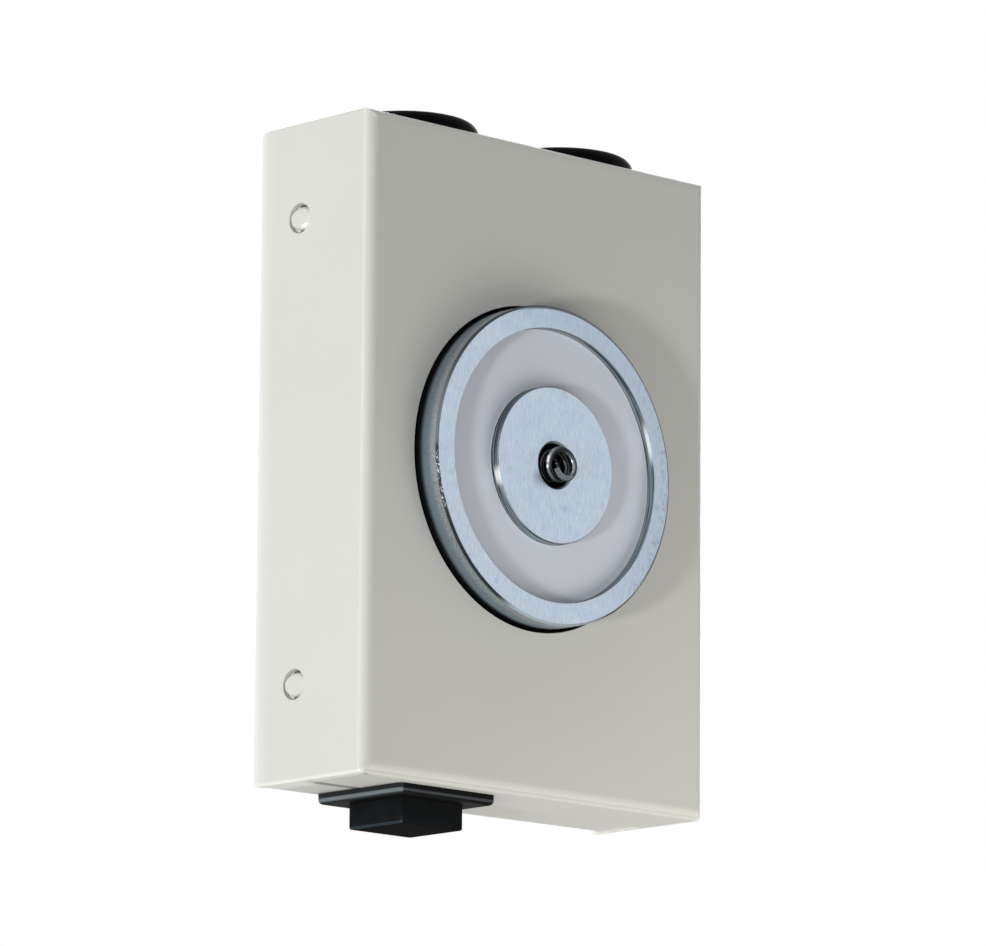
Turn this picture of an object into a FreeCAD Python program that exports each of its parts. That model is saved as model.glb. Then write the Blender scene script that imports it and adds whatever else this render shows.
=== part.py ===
import FreeCAD
import Part
import math
import os

# Electromagnetic door holder for a wall, in millimetres.
# The wall is the plane y = 0, the front faces -Y, +Z is up and +X is right seen from the front.
# The origin is the middle of the back.

# Case
WIDTH = 99.0
HEIGHT = 140.0
DEPTH = 34.0
COVER_SHEET = 1.0
COVER_BEND = 2.3
PAINTED_EDGE = 0.35
REAR_CORNER = 1.5
SEAM_DEPTH = 16.0
FLANGE_SLOT = 0.35
MAGNET_WINDOW_GAP = 0.8

# Base plate
BASE_SHEET = 1.5
BASE_BEND = 1.0
SIDE_GAP = 0.2
FLANGE_GAP = 0.1
FLANGE_FRONT_GAP = 1.8
FLANGE_CORNER = 3.0
TAB_HEIGHT = 22.0
TAB_REACH = 19.0
TAB_RELIEF = 1.2
TAB_CORNER = 2.0
SNAP_HEIGHT = 49.55
SNAP_DEPTH = 12.2
SNAP_HOLE = 6.5
SNAP_BUMP = 5.0
SNAP_BUMP_ROUND = 0.8
SNAP_PLAY = 0.7
SNAP_BUMP_SINK = 0.2
WALL_HOLE = 5.2
WALL_HOLE_X = 38.0
WALL_HOLE_Z = 57.0

# Magnet
MAGNET_X = -1.35
MAGNET_Z = -0.4
CUP_DIAMETER = 68.2
CUP_WALL = 4.8
CUP_FLOOR = 5.0
CUP_CHAMFER = 0.5
CORE_DIAMETER = 33.5
MAGNET_PROUD = 6.2
POTTING_RECESS = 2.3
POTTING_FACE = 1.1
CAST_GAP = 0.05
BOBBIN_GAP = 0.2
BOBBIN_WALL = 1.2
WINDING_WALL_GAP = 1.5
LEAD_HOLE = 5.0
LEAD_HOLE_RIGHT = 20.0
LEAD_HOLE_UP = 14.0

# Ejector spring in the core
SPRING_BORE = 9.7
SPRING_BORE_DEPTH = 12.0
SPRING_BORE_CHAMFER = 0.25
EJECTOR_DIAMETER = 7.7
EJECTOR_WIRE = 1.4
EJECTOR_PITCH = 2.35
EJECTOR_PROUD = 3.2
EJECTOR_TIP_ANGLE = 206.0

# Magnet bracket and its fixings
BRACKET_SHEET = 2.0
BRACKET_BEND = 1.0
BRACKET_WIDTH = 30.0
BRACKET_RISE = 7.0
STUD_Z = 41.5
BRACKET_FOOT_IN = 7.5
BRACKET_FOOT_OUT = 6.5
STUD_DIAMETER = 4.0
STUD_HEAD = 7.0
STUD_LENGTH = 9.0
NUT_ACROSS = 7.0
NUT_THICK = 3.2
SCREW_DIAMETER = 6.0
SCREW_LENGTH = 16.0
SCREW_ACROSS = 10.0
SCREW_HEAD = 4.0
WASHER_THICK = 1.5
WASHER_DIAMETER = 11.6
WASHER_SPLIT = 1.2
HOLE_GAP = 0.3
THREAD_GAP = 0.05

# Cable grommets
GROMMET_X = 23.0
GROMMET_BACK_GAP = 0.1
GROMMET_HOLE = 25.0
GROMMET_HEAD = 31.4
GROMMET_HEAD_HEIGHT = 3.5
GROMMET_LIP = 26.4
GROMMET_LIP_THICK = 2.6
GROMMET_WALL = 2.0
GROMMET_MEMBRANE = 1.6
GROMMET_GAP = 0.1
GROMMET_RING = 9.0
GROMMET_RING_DEEP = 0.6
NOTCH_GAP = 0.3

# Release button
BUTTON_X = -20.8
BUTTON_DEPTH = 15.8
BEZEL_X = 27.0
BEZEL_Y = 26.3
BEZEL_THICK = 2.2
BEZEL_ROUND = 1.2
CAP_X = 17.6
CAP_Y = 16.3
CAP_PROUD = 5.3
CAP_ROUND = 0.5
CAP_GAP = 0.3
CAP_SHOULDER = 0.7
CAP_SHOULDER_THICK = 2.0
CAP_LENGTH = 11.4
BODY_WALL = 1.2
STEM_ROOM = 1.2
BODY_GAP = 0.25
LUG_REACH = 1.2
LUG_HEIGHT = 5.0
LUG_WIDTH = 8.0
TRAVEL = 3.5
STEM = 5.4
STEM_TIP = 3.0
PARTITION_THICK = 3.0
CONTACT_SHEET = 0.6
CONTACT_WIDTH = 4.0
CONTACT_SEAT_X = 4.2
TERMINAL_X = 8.3
TERMINAL_TAIL = 6.0
BRIDGE_LENGTH = 13.0
SWITCH_LID = 1.6
BUTTON_SPRING_DIAMETER = 9.6
BUTTON_SPRING_WIRE = 0.8
BUTTON_SPRING_PITCH = 2.4
BUTTON_SPRING_LENGTH = 8.6

# Terminal block
BLOCK_X = 42.0
BLOCK_LOW_Z = 50.0
BLOCK_HEIGHT = 12.0
BLOCK_DEEP = 14.0
BLOCK_ROUND = 0.8
POLE_PITCH = 10.0
CLAMP_X = 6.4
CLAMP_DEEP = 7.0
CLAMP_GAP = 0.2
CLAMP_BACK = 5.0
CLAMP_SHORT = 0.8
WIRE_SLOT_X = 4.7
WIRE_SLOT_DEEP = 2.5
WIRE_SLOT_BACK = 1.0
CLAMP_SCREW = 3.0
CLAMP_SCREW_HEAD = 3.9
CLAMP_SCREW_HEAD_THICK = 1.4
CLAMP_SCREW_SPACING = 5.6
SCREW_SLOT = 0.7
FIXING_X = 17.5
FIXING_DIAMETER = 3.0
FIXING_HEAD = 5.5
FIXING_HEAD_THICK = 2.0
FIXING_SINK = 6.0

# Wiring inside the case
LEAD_DIAMETER = 1.6
BARE_DIAMETER = 0.8
LEAD_SPACING = 3.5
LEAD_Y = -3.0
COIL_LEAD_BEND_Z = 36.0
COIL_LEAD_TOP_Z = 46.0
SWITCH_LEAD_RISE = 4.0
SWITCH_LEAD_ENTRY = 0.5
SWITCH_LEAD_INSET = 4.0
SWITCH_LEAD_LOW_Y = -6.0
SWITCH_LEAD_LOW_Z = -31.0
SWITCH_LEAD_FLAT_Z = -16.0
SWITCH_LEAD_END_Z = 30.0
SWITCH_LEAD_FAN_Y = -5.0
SWITCH_LEAD_FAN_Z = 42.5
SWITCH_LEAD_TOP_Z = 47.0
BARE_START = 1.5
BARE_LENGTH = 5.5
INSULATION_GAP = 0.5
CLIP_Z = 8.0
CLIP_X = 12.0
CLIP_WALL = 0.8
SLEEVE_WALL = 0.35
SLEEVE_LENGTH = 7.3
DIODE_DIAMETER = 2.8
DIODE_LENGTH = 4.6
DIODE_WIRE = 0.7
DIODE_Y = -12.0
DIODE_DROP = 2.6

# Planes and half sizes worked out from the above
HALF_W = WIDTH / 2
HALF_H = HEIGHT / 2
COVER_IN_X = HALF_W - COVER_SHEET
COVER_IN_Z = HALF_H - COVER_SHEET
COVER_IN_Y = -DEPTH + COVER_SHEET
BASE_X = COVER_IN_X - SIDE_GAP
BASE_Z = COVER_IN_Z - FLANGE_GAP
BASE_IN_Z = BASE_Z - BASE_SHEET
FLANGE_Y = COVER_IN_Y + FLANGE_FRONT_GAP
GROMMET_DEPTH = GROMMET_HEAD / 2 + GROMMET_BACK_GAP
BRACKET_BACK = -BASE_SHEET - BRACKET_RISE
CUP_BACK = BRACKET_BACK - BRACKET_SHEET
CUP_IN_Y = CUP_BACK - CUP_FLOOR
MAGNET_FRONT = -DEPTH - MAGNET_PROUD
CUP_RADIUS = CUP_DIAMETER / 2
CUP_BORE = CUP_RADIUS - CUP_WALL
CORE_RADIUS = CORE_DIAMETER / 2
POTTING_FRONT = MAGNET_FRONT + POTTING_RECESS
BOBBIN_FRONT = POTTING_FRONT + POTTING_FACE
SPRING_SEAT = MAGNET_FRONT + SPRING_BORE_DEPTH
LEAD_HOLE_X = MAGNET_X + LEAD_HOLE_RIGHT
LEAD_HOLE_Z = MAGNET_Z + LEAD_HOLE_UP
BEZEL_LOW = -HALF_H - BEZEL_THICK
BODY_IN_X = CAP_X + 2 * CAP_GAP + 2 * CAP_SHOULDER
BODY_IN_Y = CAP_Y + 2 * CAP_GAP + 2 * CAP_SHOULDER
BODY_X = BODY_IN_X + 2 * BODY_WALL
BODY_Y = BODY_IN_Y + 2 * BODY_WALL
CAP_LOW = BEZEL_LOW - CAP_PROUD
CAP_TOP = CAP_LOW + CAP_LENGTH
PARTITION_LOW = CAP_TOP + BUTTON_SPRING_LENGTH
CONTACT_LOW = PARTITION_LOW + PARTITION_THICK
CONTACT_TOP = CONTACT_LOW + CONTACT_SHEET
STEM_TOP = CONTACT_TOP + 3 * CONTACT_SHEET
BODY_TOP = STEM_TOP + TRAVEL + STEM_ROOM + SWITCH_LID
TAIL_TOP = BODY_TOP + TERMINAL_TAIL
BUTTON_Y = -BUTTON_DEPTH
BLOCK_TOP_Z = BLOCK_LOW_Z + BLOCK_HEIGHT
BLOCK_FRONT = -BASE_SHEET - BLOCK_DEEP
CLAMP_BACK_Y = -BASE_SHEET - CLAMP_BACK
SLOT_BACK_Y = CLAMP_BACK_Y - WIRE_SLOT_BACK
WIRE_Y = SLOT_BACK_Y - BARE_DIAMETER / 2 - CAST_GAP
INSULATION_TOP = BLOCK_LOW_Z - INSULATION_GAP
BARE_TOP = INSULATION_TOP + BARE_LENGTH
FAR = 400.0


def point(x, y, z):
    return FreeCAD.Vector(x, y, z)


def block(x0, x1, y0, y1, z0, z1):
    """A box between two corners."""
    return Part.makeBox(x1 - x0, y1 - y0, z1 - z0, point(x0, y0, z0))


def rod_x(y, z, radius, x0, x1):
    return Part.makeCylinder(radius, x1 - x0, point(x0, y, z), point(1, 0, 0))


def rod_y(x, z, radius, y0, y1):
    return Part.makeCylinder(radius, y1 - y0, point(x, y0, z), point(0, 1, 0))


def rod_z(x, y, radius, z0, z1):
    return Part.makeCylinder(radius, z1 - z0, point(x, y, z0), point(0, 0, 1))


def round_edges(shape, radius, chosen):
    """Rounds the edges for which chosen(edge) is true."""
    edges = [edge for edge in shape.Edges if chosen(edge)]
    return shape.makeFillet(radius, edges)


def runs_along(edge, axis):
    """True for a straight edge along an axis, 0 for X, 1 for Y and 2 for Z."""
    box = edge.BoundBox
    lengths = [box.XLength, box.YLength, box.ZLength]
    across = sum(lengths) - lengths[axis]
    return lengths[axis] > 1e-6 and across < 1e-6


def at_y(edge, y):
    box = edge.BoundBox
    return abs(box.YMin - y) < 1e-6 and abs(box.YMax - y) < 1e-6


def at_z(edge, z):
    box = edge.BoundBox
    return abs(box.ZMin - z) < 1e-6 and abs(box.ZMax - z) < 1e-6


def strip(path, sheet, bend, low, high, place):
    """Sheet metal folded along the middle line path, from low to high across it.

    place turns (u, v, w) into a point, where u and v are the path's own axes and w goes across.
    """
    middle = bend + sheet / 2
    points = [FreeCAD.Vector(u, v, 0) for u, v in path]
    runs = [(b - a).normalize() for a, b in zip(points, points[1:])]
    cuts = [0.0]
    for one, two in zip(runs, runs[1:]):
        cuts.append(middle * math.tan(one.getAngle(two) / 2))
    cuts.append(0.0)

    def side(offset):
        edges = []
        for i, run in enumerate(runs):
            normal = FreeCAD.Vector(-run.y, run.x, 0)
            start = points[i] + run * cuts[i] + normal * offset
            end = points[i + 1] - run * cuts[i + 1] + normal * offset
            edges.append(Part.LineSegment(lift(start), lift(end)).toShape())
            if i + 1 < len(runs):
                after = runs[i + 1]
                turn = 1 if run.cross(after).z > 0 else -1
                centre = points[i + 1] - run * cuts[i + 1] + normal * middle * turn
                half = (normal + FreeCAD.Vector(-after.y, after.x, 0)).normalize()
                next_normal = FreeCAD.Vector(-after.y, after.x, 0)
                radius = middle * turn - offset
                arc = [centre - way * radius for way in (normal, half, next_normal)]
                edges.append(Part.Arc(*[lift(p) for p in arc]).toShape())
        return edges

    def lift(p):
        return place(p.x, p.y, low)

    left = side(sheet / 2)
    right = side(-sheet / 2)
    caps = [
        Part.LineSegment(left[0].Vertexes[0].Point, right[0].Vertexes[0].Point).toShape(),
        Part.LineSegment(left[-1].Vertexes[-1].Point, right[-1].Vertexes[-1].Point).toShape(),
    ]
    wire = Part.Wire(Part.__sortEdges__(left + right + caps))
    return Part.Face(wire).extrude(place(0, 0, high) - place(0, 0, low))


def across_x(u, v, w):
    return point(w, u, v)


def across_z(u, v, w):
    return point(u, v, w)


def across_y(u, v, w):
    return point(u, w, v)


def lead_path(points, most):
    """Straight runs joined by tangent arcs, each as large as its two runs and most allow."""
    points = [FreeCAD.Vector(*p) for p in points]
    edges = []
    radii = []
    last = points[0]
    for before, here, after in zip(points, points[1:], points[2:]):
        one = (here - before).normalize()
        two = (after - here).normalize()
        half = one.getAngle(two) / 2
        shorter = min((here - before).Length, (after - here).Length)
        radius = min(0.45 * shorter / math.tan(half), most)
        cut = radius * math.tan(half)
        start = here - one * cut
        end = here + two * cut
        inward = (two - one).normalize()
        centre = here + inward * (radius / math.cos(half))
        edges.append(Part.LineSegment(last, start).toShape())
        edges.append(Part.Arc(start, centre - inward * radius, end).toShape())
        radii.append(radius)
        last = end
    edges.append(Part.LineSegment(last, points[-1]).toShape())
    return Part.Wire(edges), radii


def tube(points, diameter, most=12.0):
    """A round wire or lead along a path."""
    path, radii = lead_path(points, most)
    first = FreeCAD.Vector(*points[1]) - FreeCAD.Vector(*points[0])
    ring = Part.Wire(Part.makeCircle(diameter / 2, FreeCAD.Vector(*points[0]), first))
    solid = path.makePipeShell([ring], True, False)
    section = math.pi * diameter ** 2 / 4
    share = abs(solid.Volume) / (section * path.Length)
    arcs = [round(radius, 1) for radius in radii]
    print("  run", round(path.Length, 1), "arcs", arcs, "volume share", round(share, 4))
    return solid


def coil_spring(diameter, wire, pitch, length):
    """A wire spring along +Z from 0, with both ends ground flat."""
    radius = (diameter - wire) / 2
    helix = Part.makeHelix(pitch, length, radius)
    start = point(radius, 0, 0)
    lean = math.atan2(pitch, 2 * math.pi * radius)
    ring = Part.Wire(Part.makeCircle(wire / 2, start, point(0, math.cos(lean), math.sin(lean))))
    coil = Part.Wire(helix).makePipeShell([ring], True, True)
    return coil.common(block(-diameter, diameter, -diameter, diameter, 0, length))


def hexagon(across, height):
    """A hexagonal prism along +Z from 0, with its corners turned off at both ends."""
    corner = across / math.sqrt(3)
    points = []
    for i in range(7):
        angle = math.radians(60 * i + 30)
        points.append(point(corner * math.cos(angle), corner * math.sin(angle), 0))
    prism = Part.Face(Part.makePolygon(points)).extrude(point(0, 0, height))
    bevel = (corner - across / 2) * 0.6
    high = Part.makeCone(corner + height, corner - bevel, height + bevel, point(0, 0, -bevel))
    low = Part.makeCone(corner - bevel, corner + height, height + bevel, point(0, 0, 0))
    return prism.common(high).common(low)


def facing_front(shape, x, y, z):
    """Turns a shape that stands on +Z to point at the front, -Y, and puts its foot at the point."""
    shape = shape.copy()
    shape.rotate(point(0, 0, 0), point(1, 0, 0), 90)
    shape.translate(point(x, y, z))
    return shape


def facing_back(shape, x, y, z):
    shape = shape.copy()
    shape.rotate(point(0, 0, 0), point(1, 0, 0), -90)
    shape.translate(point(x, y, z))
    return shape


def grommet_places():
    return [-GROMMET_X, GROMMET_X]


def folded_shell(x, front, z, bend, back):
    """A block from front to back whose four front edges are bent over."""
    shell = block(-x, x, front, back, -z, z)
    return round_edges(shell, bend, lambda edge: at_y(edge, front))


def cover():
    """Front, two full side panels and two short flanges, folded from one sheet."""
    outside = folded_shell(HALF_W, -DEPTH, HALF_H, COVER_BEND, 0)
    edges = block(-HALF_W, HALF_W, -DEPTH, 0, -HALF_H, HALF_H)
    edges = round_edges(edges, REAR_CORNER, lambda e: at_y(e, 0) and runs_along(e, 0))
    edges = round_edges(edges, PAINTED_EDGE, lambda e: runs_along(e, 1) and abs(e.BoundBox.ZMin) > COVER_IN_Z)
    inner_bend = COVER_BEND - COVER_SHEET
    inside = folded_shell(COVER_IN_X, COVER_IN_Y, COVER_IN_Z, inner_bend, 1)
    shape = outside.common(edges).cut(inside)
    for side in (-1, 1):
        low, high = sorted([side * (COVER_IN_Z - inner_bend), side * (HALF_H + 1)])
        shape = shape.cut(block(-COVER_IN_X, COVER_IN_X, -SEAM_DEPTH, 1, low, high))
        slot_start = -DEPTH + COVER_BEND - FLANGE_SLOT
        for edge in (-1, 1):
            x0, x1 = sorted([edge * COVER_IN_X, edge * (COVER_IN_X - FLANGE_SLOT)])
            shape = shape.cut(block(x0, x1, slot_start, 0, low, high))
    window = CUP_RADIUS + MAGNET_WINDOW_GAP
    shape = shape.cut(rod_y(MAGNET_X, MAGNET_Z, window, -DEPTH - 1, COVER_IN_Y + 1))
    for z in (-SNAP_HEIGHT, SNAP_HEIGHT):
        shape = shape.cut(rod_x(-SNAP_DEPTH, z, SNAP_HOLE / 2, -FAR, FAR))
    notch = GROMMET_HOLE / 2 + NOTCH_GAP
    for x in grommet_places():
        shape = shape.cut(rod_z(x, -GROMMET_DEPTH, notch, COVER_IN_Z - 1, HALF_H + 1))
    half = BODY_X / 2 + NOTCH_GAP
    front = BUTTON_Y - BODY_Y / 2 - NOTCH_GAP
    return shape.cut(block(BUTTON_X - half, BUTTON_X + half, front, 0, -HALF_H - 1, -COVER_IN_Z + 1))


def snap_bump(side, z):
    """The bump pressed out of a side tab, against the front of its hole, and the dent behind it."""
    top = HALF_W - SNAP_BUMP_SINK
    y = -SNAP_DEPTH - SNAP_PLAY
    bump = rod_x(y, z, SNAP_BUMP / 2, BASE_X - BASE_SHEET / 2, top)
    bump = round_edges(bump, SNAP_BUMP_ROUND, lambda e: abs(e.BoundBox.XMin - top) < 1e-6)
    dent = SNAP_BUMP / 2 - BASE_SHEET / 2
    hollow = rod_x(y, z, dent, BASE_X - 2 * BASE_SHEET, top - BASE_SHEET)
    if side < 0:
        bump = bump.mirror(point(0, 0, 0), point(1, 0, 0))
        hollow = hollow.mirror(point(0, 0, 0), point(1, 0, 0))
    return bump, hollow


def side_tab(side, z):
    """A tab folded forward from the plate's edge, with rounded corners."""
    half = BASE_SHEET / 2
    root = BASE_X - 2 * BASE_SHEET - BASE_BEND
    path = [(side * root, -half), (side * (BASE_X - half), -half), (side * (BASE_X - half), -TAB_REACH)]
    tab = strip(path, BASE_SHEET, BASE_BEND, z - TAB_HEIGHT / 2, z + TAB_HEIGHT / 2, across_z)
    return round_edges(tab, TAB_CORNER, lambda e: runs_along(e, 0) and at_y(e, -TAB_REACH))


def base_plate():
    """Back plate with top and bottom flanges, side tabs and every hole."""
    half = BASE_SHEET / 2
    outer = BASE_Z - half
    path = [(FLANGE_Y, outer), (-half, outer), (-half, -outer), (FLANGE_Y, -outer)]
    shape = strip(path, BASE_SHEET, BASE_BEND, -BASE_X, BASE_X, across_x)
    shape = round_edges(shape, FLANGE_CORNER, lambda e: runs_along(e, 2) and at_y(e, FLANGE_Y))
    start = BASE_X - BASE_SHEET - BASE_BEND
    for side in (-1, 1):
        for z in (-SNAP_HEIGHT, SNAP_HEIGHT):
            reach = TAB_HEIGHT / 2 + TAB_RELIEF
            x0, x1 = sorted([side * start, side * FAR])
            shape = shape.cut(block(x0, x1, -BASE_SHEET - 1, 1, z - reach, z + reach))
            shape = shape.fuse(side_tab(side, z))
            bump, hollow = snap_bump(side, z)
            shape = shape.fuse(bump).cut(hollow)
    for x in (-WALL_HOLE_X, WALL_HOLE_X):
        for z in (-WALL_HOLE_Z, WALL_HOLE_Z):
            shape = shape.cut(rod_y(x, z, WALL_HOLE / 2, -BASE_SHEET - 1, 1))
    for z in (-STUD_Z, STUD_Z):
        shape = shape.cut(rod_y(0, z, STUD_HEAD / 2 + CAST_GAP, -BASE_SHEET - 1, 1))
    for x in (-FIXING_X, FIXING_X):
        z = BLOCK_LOW_Z + BLOCK_HEIGHT / 2
        shape = shape.cut(rod_y(x, z, FIXING_DIAMETER / 2 + THREAD_GAP, -BASE_SHEET - 1, 1))
    for x in grommet_places():
        shape = shape.cut(rod_z(x, -GROMMET_DEPTH, GROMMET_HOLE / 2, BASE_IN_Z - 1, BASE_Z + 1))
    x0 = BUTTON_X - BODY_X / 2 - BODY_GAP
    x1 = BUTTON_X + BODY_X / 2 + BODY_GAP
    y0 = BUTTON_Y - BODY_Y / 2 - BODY_GAP
    y1 = BUTTON_Y + BODY_Y / 2 + BODY_GAP
    return shape.cut(block(x0, x1, y0, y1, -BASE_Z - 1, -BASE_IN_Z + 1)).removeSplitter()


def magnet_bracket():
    """Hat-shaped bracket that carries the magnet clear of the base plate."""
    half = BRACKET_SHEET / 2
    foot = -BASE_SHEET - half
    top = BRACKET_BACK - half
    leg = STUD_Z - BRACKET_FOOT_IN
    end = STUD_Z + BRACKET_FOOT_OUT
    path = [(foot, end), (foot, leg), (top, leg), (top, -leg), (foot, -leg), (foot, -end)]
    shape = strip(path, BRACKET_SHEET, BRACKET_BEND, -BRACKET_WIDTH / 2, BRACKET_WIDTH / 2, across_x)
    hole = SCREW_DIAMETER / 2 + HOLE_GAP
    shape = shape.cut(rod_y(MAGNET_X, MAGNET_Z, hole, CUP_BACK - 1, BRACKET_BACK + 1))
    for z in (-STUD_Z, STUD_Z):
        shape = shape.cut(rod_y(0, z, STUD_DIAMETER / 2 + HOLE_GAP, foot - BRACKET_SHEET, 0))
    return shape


def bracket_studs():
    """Two studs pressed into the base plate."""
    studs = []
    for z in (-STUD_Z, STUD_Z):
        head = rod_y(0, z, STUD_HEAD / 2, -BASE_SHEET, -CAST_GAP)
        shank = rod_y(0, z, STUD_DIAMETER / 2, -BASE_SHEET - STUD_LENGTH, -BASE_SHEET)
        studs.append(head.fuse(shank).removeSplitter())
    return Part.makeCompound(studs)


def bracket_nuts():
    nut = hexagon(NUT_ACROSS, NUT_THICK)
    nut = nut.cut(rod_z(0, 0, STUD_DIAMETER / 2 + THREAD_GAP, -1, NUT_THICK + 1))
    seat = -BASE_SHEET - BRACKET_SHEET
    return Part.makeCompound([facing_front(nut, 0, seat, z) for z in (-STUD_Z, STUD_Z)])


def magnet_cup():
    """Steel cup, the outer pole of the magnet."""
    shape = rod_y(MAGNET_X, MAGNET_Z, CUP_RADIUS, MAGNET_FRONT, CUP_BACK)
    shape = shape.makeChamfer(CUP_CHAMFER, [e for e in shape.Edges if not runs_along(e, 1)])
    shape = shape.cut(rod_y(MAGNET_X, MAGNET_Z, CUP_BORE, MAGNET_FRONT - 1, CUP_IN_Y))
    shape = shape.cut(rod_y(MAGNET_X, MAGNET_Z, SCREW_DIAMETER / 2 + HOLE_GAP, CUP_IN_Y - 1, CUP_BACK + 1))
    return shape.cut(rod_y(LEAD_HOLE_X, LEAD_HOLE_Z, LEAD_HOLE / 2, CUP_IN_Y - 1, CUP_BACK + 1))


def screw_tip():
    return BRACKET_BACK + WASHER_THICK - SCREW_LENGTH


def magnet_core():
    """Steel core, the inner pole, with the spring bore in front and the screw hole behind."""
    shape = rod_y(MAGNET_X, MAGNET_Z, CORE_RADIUS, MAGNET_FRONT, CUP_IN_Y)
    shape = shape.cut(rod_y(MAGNET_X, MAGNET_Z, SPRING_BORE / 2, MAGNET_FRONT, SPRING_SEAT))
    mouth = SPRING_BORE / 2
    front = point(MAGNET_X, MAGNET_FRONT, MAGNET_Z)
    deep = SPRING_BORE_CHAMFER
    shape = shape.cut(Part.makeCone(mouth + deep, mouth, deep, front, point(0, 1, 0)))
    thread = SCREW_DIAMETER / 2 + THREAD_GAP
    return shape.cut(rod_y(MAGNET_X, MAGNET_Z, thread, screw_tip() - 1, CUP_IN_Y + 1))


def ring_y(outer, inner, y0, y1):
    return rod_y(MAGNET_X, MAGNET_Z, outer, y0, y1).cut(rod_y(MAGNET_X, MAGNET_Z, inner, y0 - 1, y1 + 1))


def bobbin_bore():
    return CORE_RADIUS + BOBBIN_GAP


def coil_bobbin():
    """Plastic spool on the core."""
    flange = CUP_BORE - BOBBIN_GAP
    tube_radius = bobbin_bore() + BOBBIN_WALL
    shape = ring_y(tube_radius, bobbin_bore(), BOBBIN_FRONT, CUP_IN_Y)
    shape = shape.fuse(ring_y(flange, bobbin_bore(), CUP_IN_Y - BOBBIN_WALL, CUP_IN_Y))
    shape = shape.fuse(ring_y(flange, bobbin_bore(), BOBBIN_FRONT, BOBBIN_FRONT + BOBBIN_WALL))
    shape = shape.removeSplitter()
    deep = CUP_IN_Y - BOBBIN_WALL - 1
    return shape.cut(rod_y(LEAD_HOLE_X, LEAD_HOLE_Z, LEAD_HOLE / 2, deep, CUP_IN_Y + 1))


def coil_winding():
    """The turns of enamelled wire, as one ring."""
    inner = bobbin_bore() + BOBBIN_WALL + CAST_GAP
    return ring_y(CUP_BORE - WINDING_WALL_GAP, inner, BOBBIN_FRONT + BOBBIN_WALL, CUP_IN_Y - BOBBIN_WALL)


def potting_resin():
    """Resin face between the poles, and the sleeve of resin round the winding."""
    outer = CUP_BORE - CAST_GAP
    face = ring_y(outer, CORE_RADIUS + CAST_GAP, POTTING_FRONT, BOBBIN_FRONT)
    sleeve_in = CUP_BORE - BOBBIN_GAP + CAST_GAP
    sleeve = ring_y(outer, sleeve_in, BOBBIN_FRONT, CUP_IN_Y)
    around = CUP_BORE - WINDING_WALL_GAP + CAST_GAP
    fill = ring_y(outer, around, BOBBIN_FRONT + BOBBIN_WALL + CAST_GAP, CUP_IN_Y - BOBBIN_WALL - CAST_GAP)
    return face.fuse(sleeve).fuse(fill).removeSplitter()


def ejector_spring():
    """Left-hand spring that pushes the armature plate off the poles, with its tip at the angle."""
    length = SPRING_BORE_DEPTH + EJECTOR_PROUD
    spring = coil_spring(EJECTOR_DIAMETER, EJECTOR_WIRE, EJECTOR_PITCH, length)
    spring = spring.mirror(point(0, 0, 0), point(0, 1, 0))
    spring.rotate(point(0, 0, 0), point(0, 0, 1), EJECTOR_TIP_ANGLE + 360 * length / EJECTOR_PITCH)
    return facing_front(spring, MAGNET_X, SPRING_SEAT, MAGNET_Z)


def magnet_screw():
    """Hexagon head screw through the bracket into the core."""
    head = facing_back(hexagon(SCREW_ACROSS, SCREW_HEAD), MAGNET_X, BRACKET_BACK + WASHER_THICK, MAGNET_Z)
    shank = rod_y(MAGNET_X, MAGNET_Z, SCREW_DIAMETER / 2, screw_tip(), BRACKET_BACK + WASHER_THICK)
    tip = [e for e in shank.Edges if at_y(e, screw_tip())]
    return head.fuse(shank.makeChamfer(SCREW_DIAMETER / 8, tip)).removeSplitter()


def spring_washer():
    bore = SCREW_DIAMETER / 2 + HOLE_GAP
    ring = ring_y(WASHER_DIAMETER / 2, bore, BRACKET_BACK, BRACKET_BACK + WASHER_THICK)
    x0 = MAGNET_X - WASHER_SPLIT / 2
    return ring.cut(block(x0, x0 + WASHER_SPLIT, BRACKET_BACK - 1, 0, MAGNET_Z, MAGNET_Z + WASHER_DIAMETER))


def cable_grommet(x):
    """Rubber grommet with a closed top, gripping the edge of the base plate's flange."""
    neck = GROMMET_HOLE / 2 - GROMMET_GAP
    head = GROMMET_HEAD / 2
    lip = GROMMET_LIP / 2
    top = HALF_H + GROMMET_HEAD_HEIGHT
    low = BASE_IN_Z - GROMMET_LIP_THICK
    y = -GROMMET_DEPTH
    dome = rod_z(x, y, head, HALF_H, top)
    dome = round_edges(dome, GROMMET_HEAD_HEIGHT * 0.7, lambda e: at_z(e, top))
    inner = Part.makeCone(lip - GROMMET_LIP_THICK / 2, lip, GROMMET_LIP_THICK, point(x, y, low))
    shape = dome.fuse(rod_z(x, y, neck, BASE_IN_Z, HALF_H)).fuse(inner)
    shape = shape.cut(rod_z(x, y, neck - GROMMET_WALL, low - 1, top - GROMMET_MEMBRANE))
    groove = rod_z(x, y, GROMMET_RING, top - GROMMET_RING_DEEP, top + 1)
    rim = rod_z(x, y, GROMMET_RING - 1, top - GROMMET_RING_DEEP, top + 1)
    return shape.cut(groove.cut(rim)).removeSplitter()


def button_box(size_x, size_y, z0, z1):
    """A block centred on the button."""
    x0 = BUTTON_X - size_x / 2
    y0 = BUTTON_Y - size_y / 2
    return block(x0, x0 + size_x, y0, y0 + size_y, z0, z1)


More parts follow.
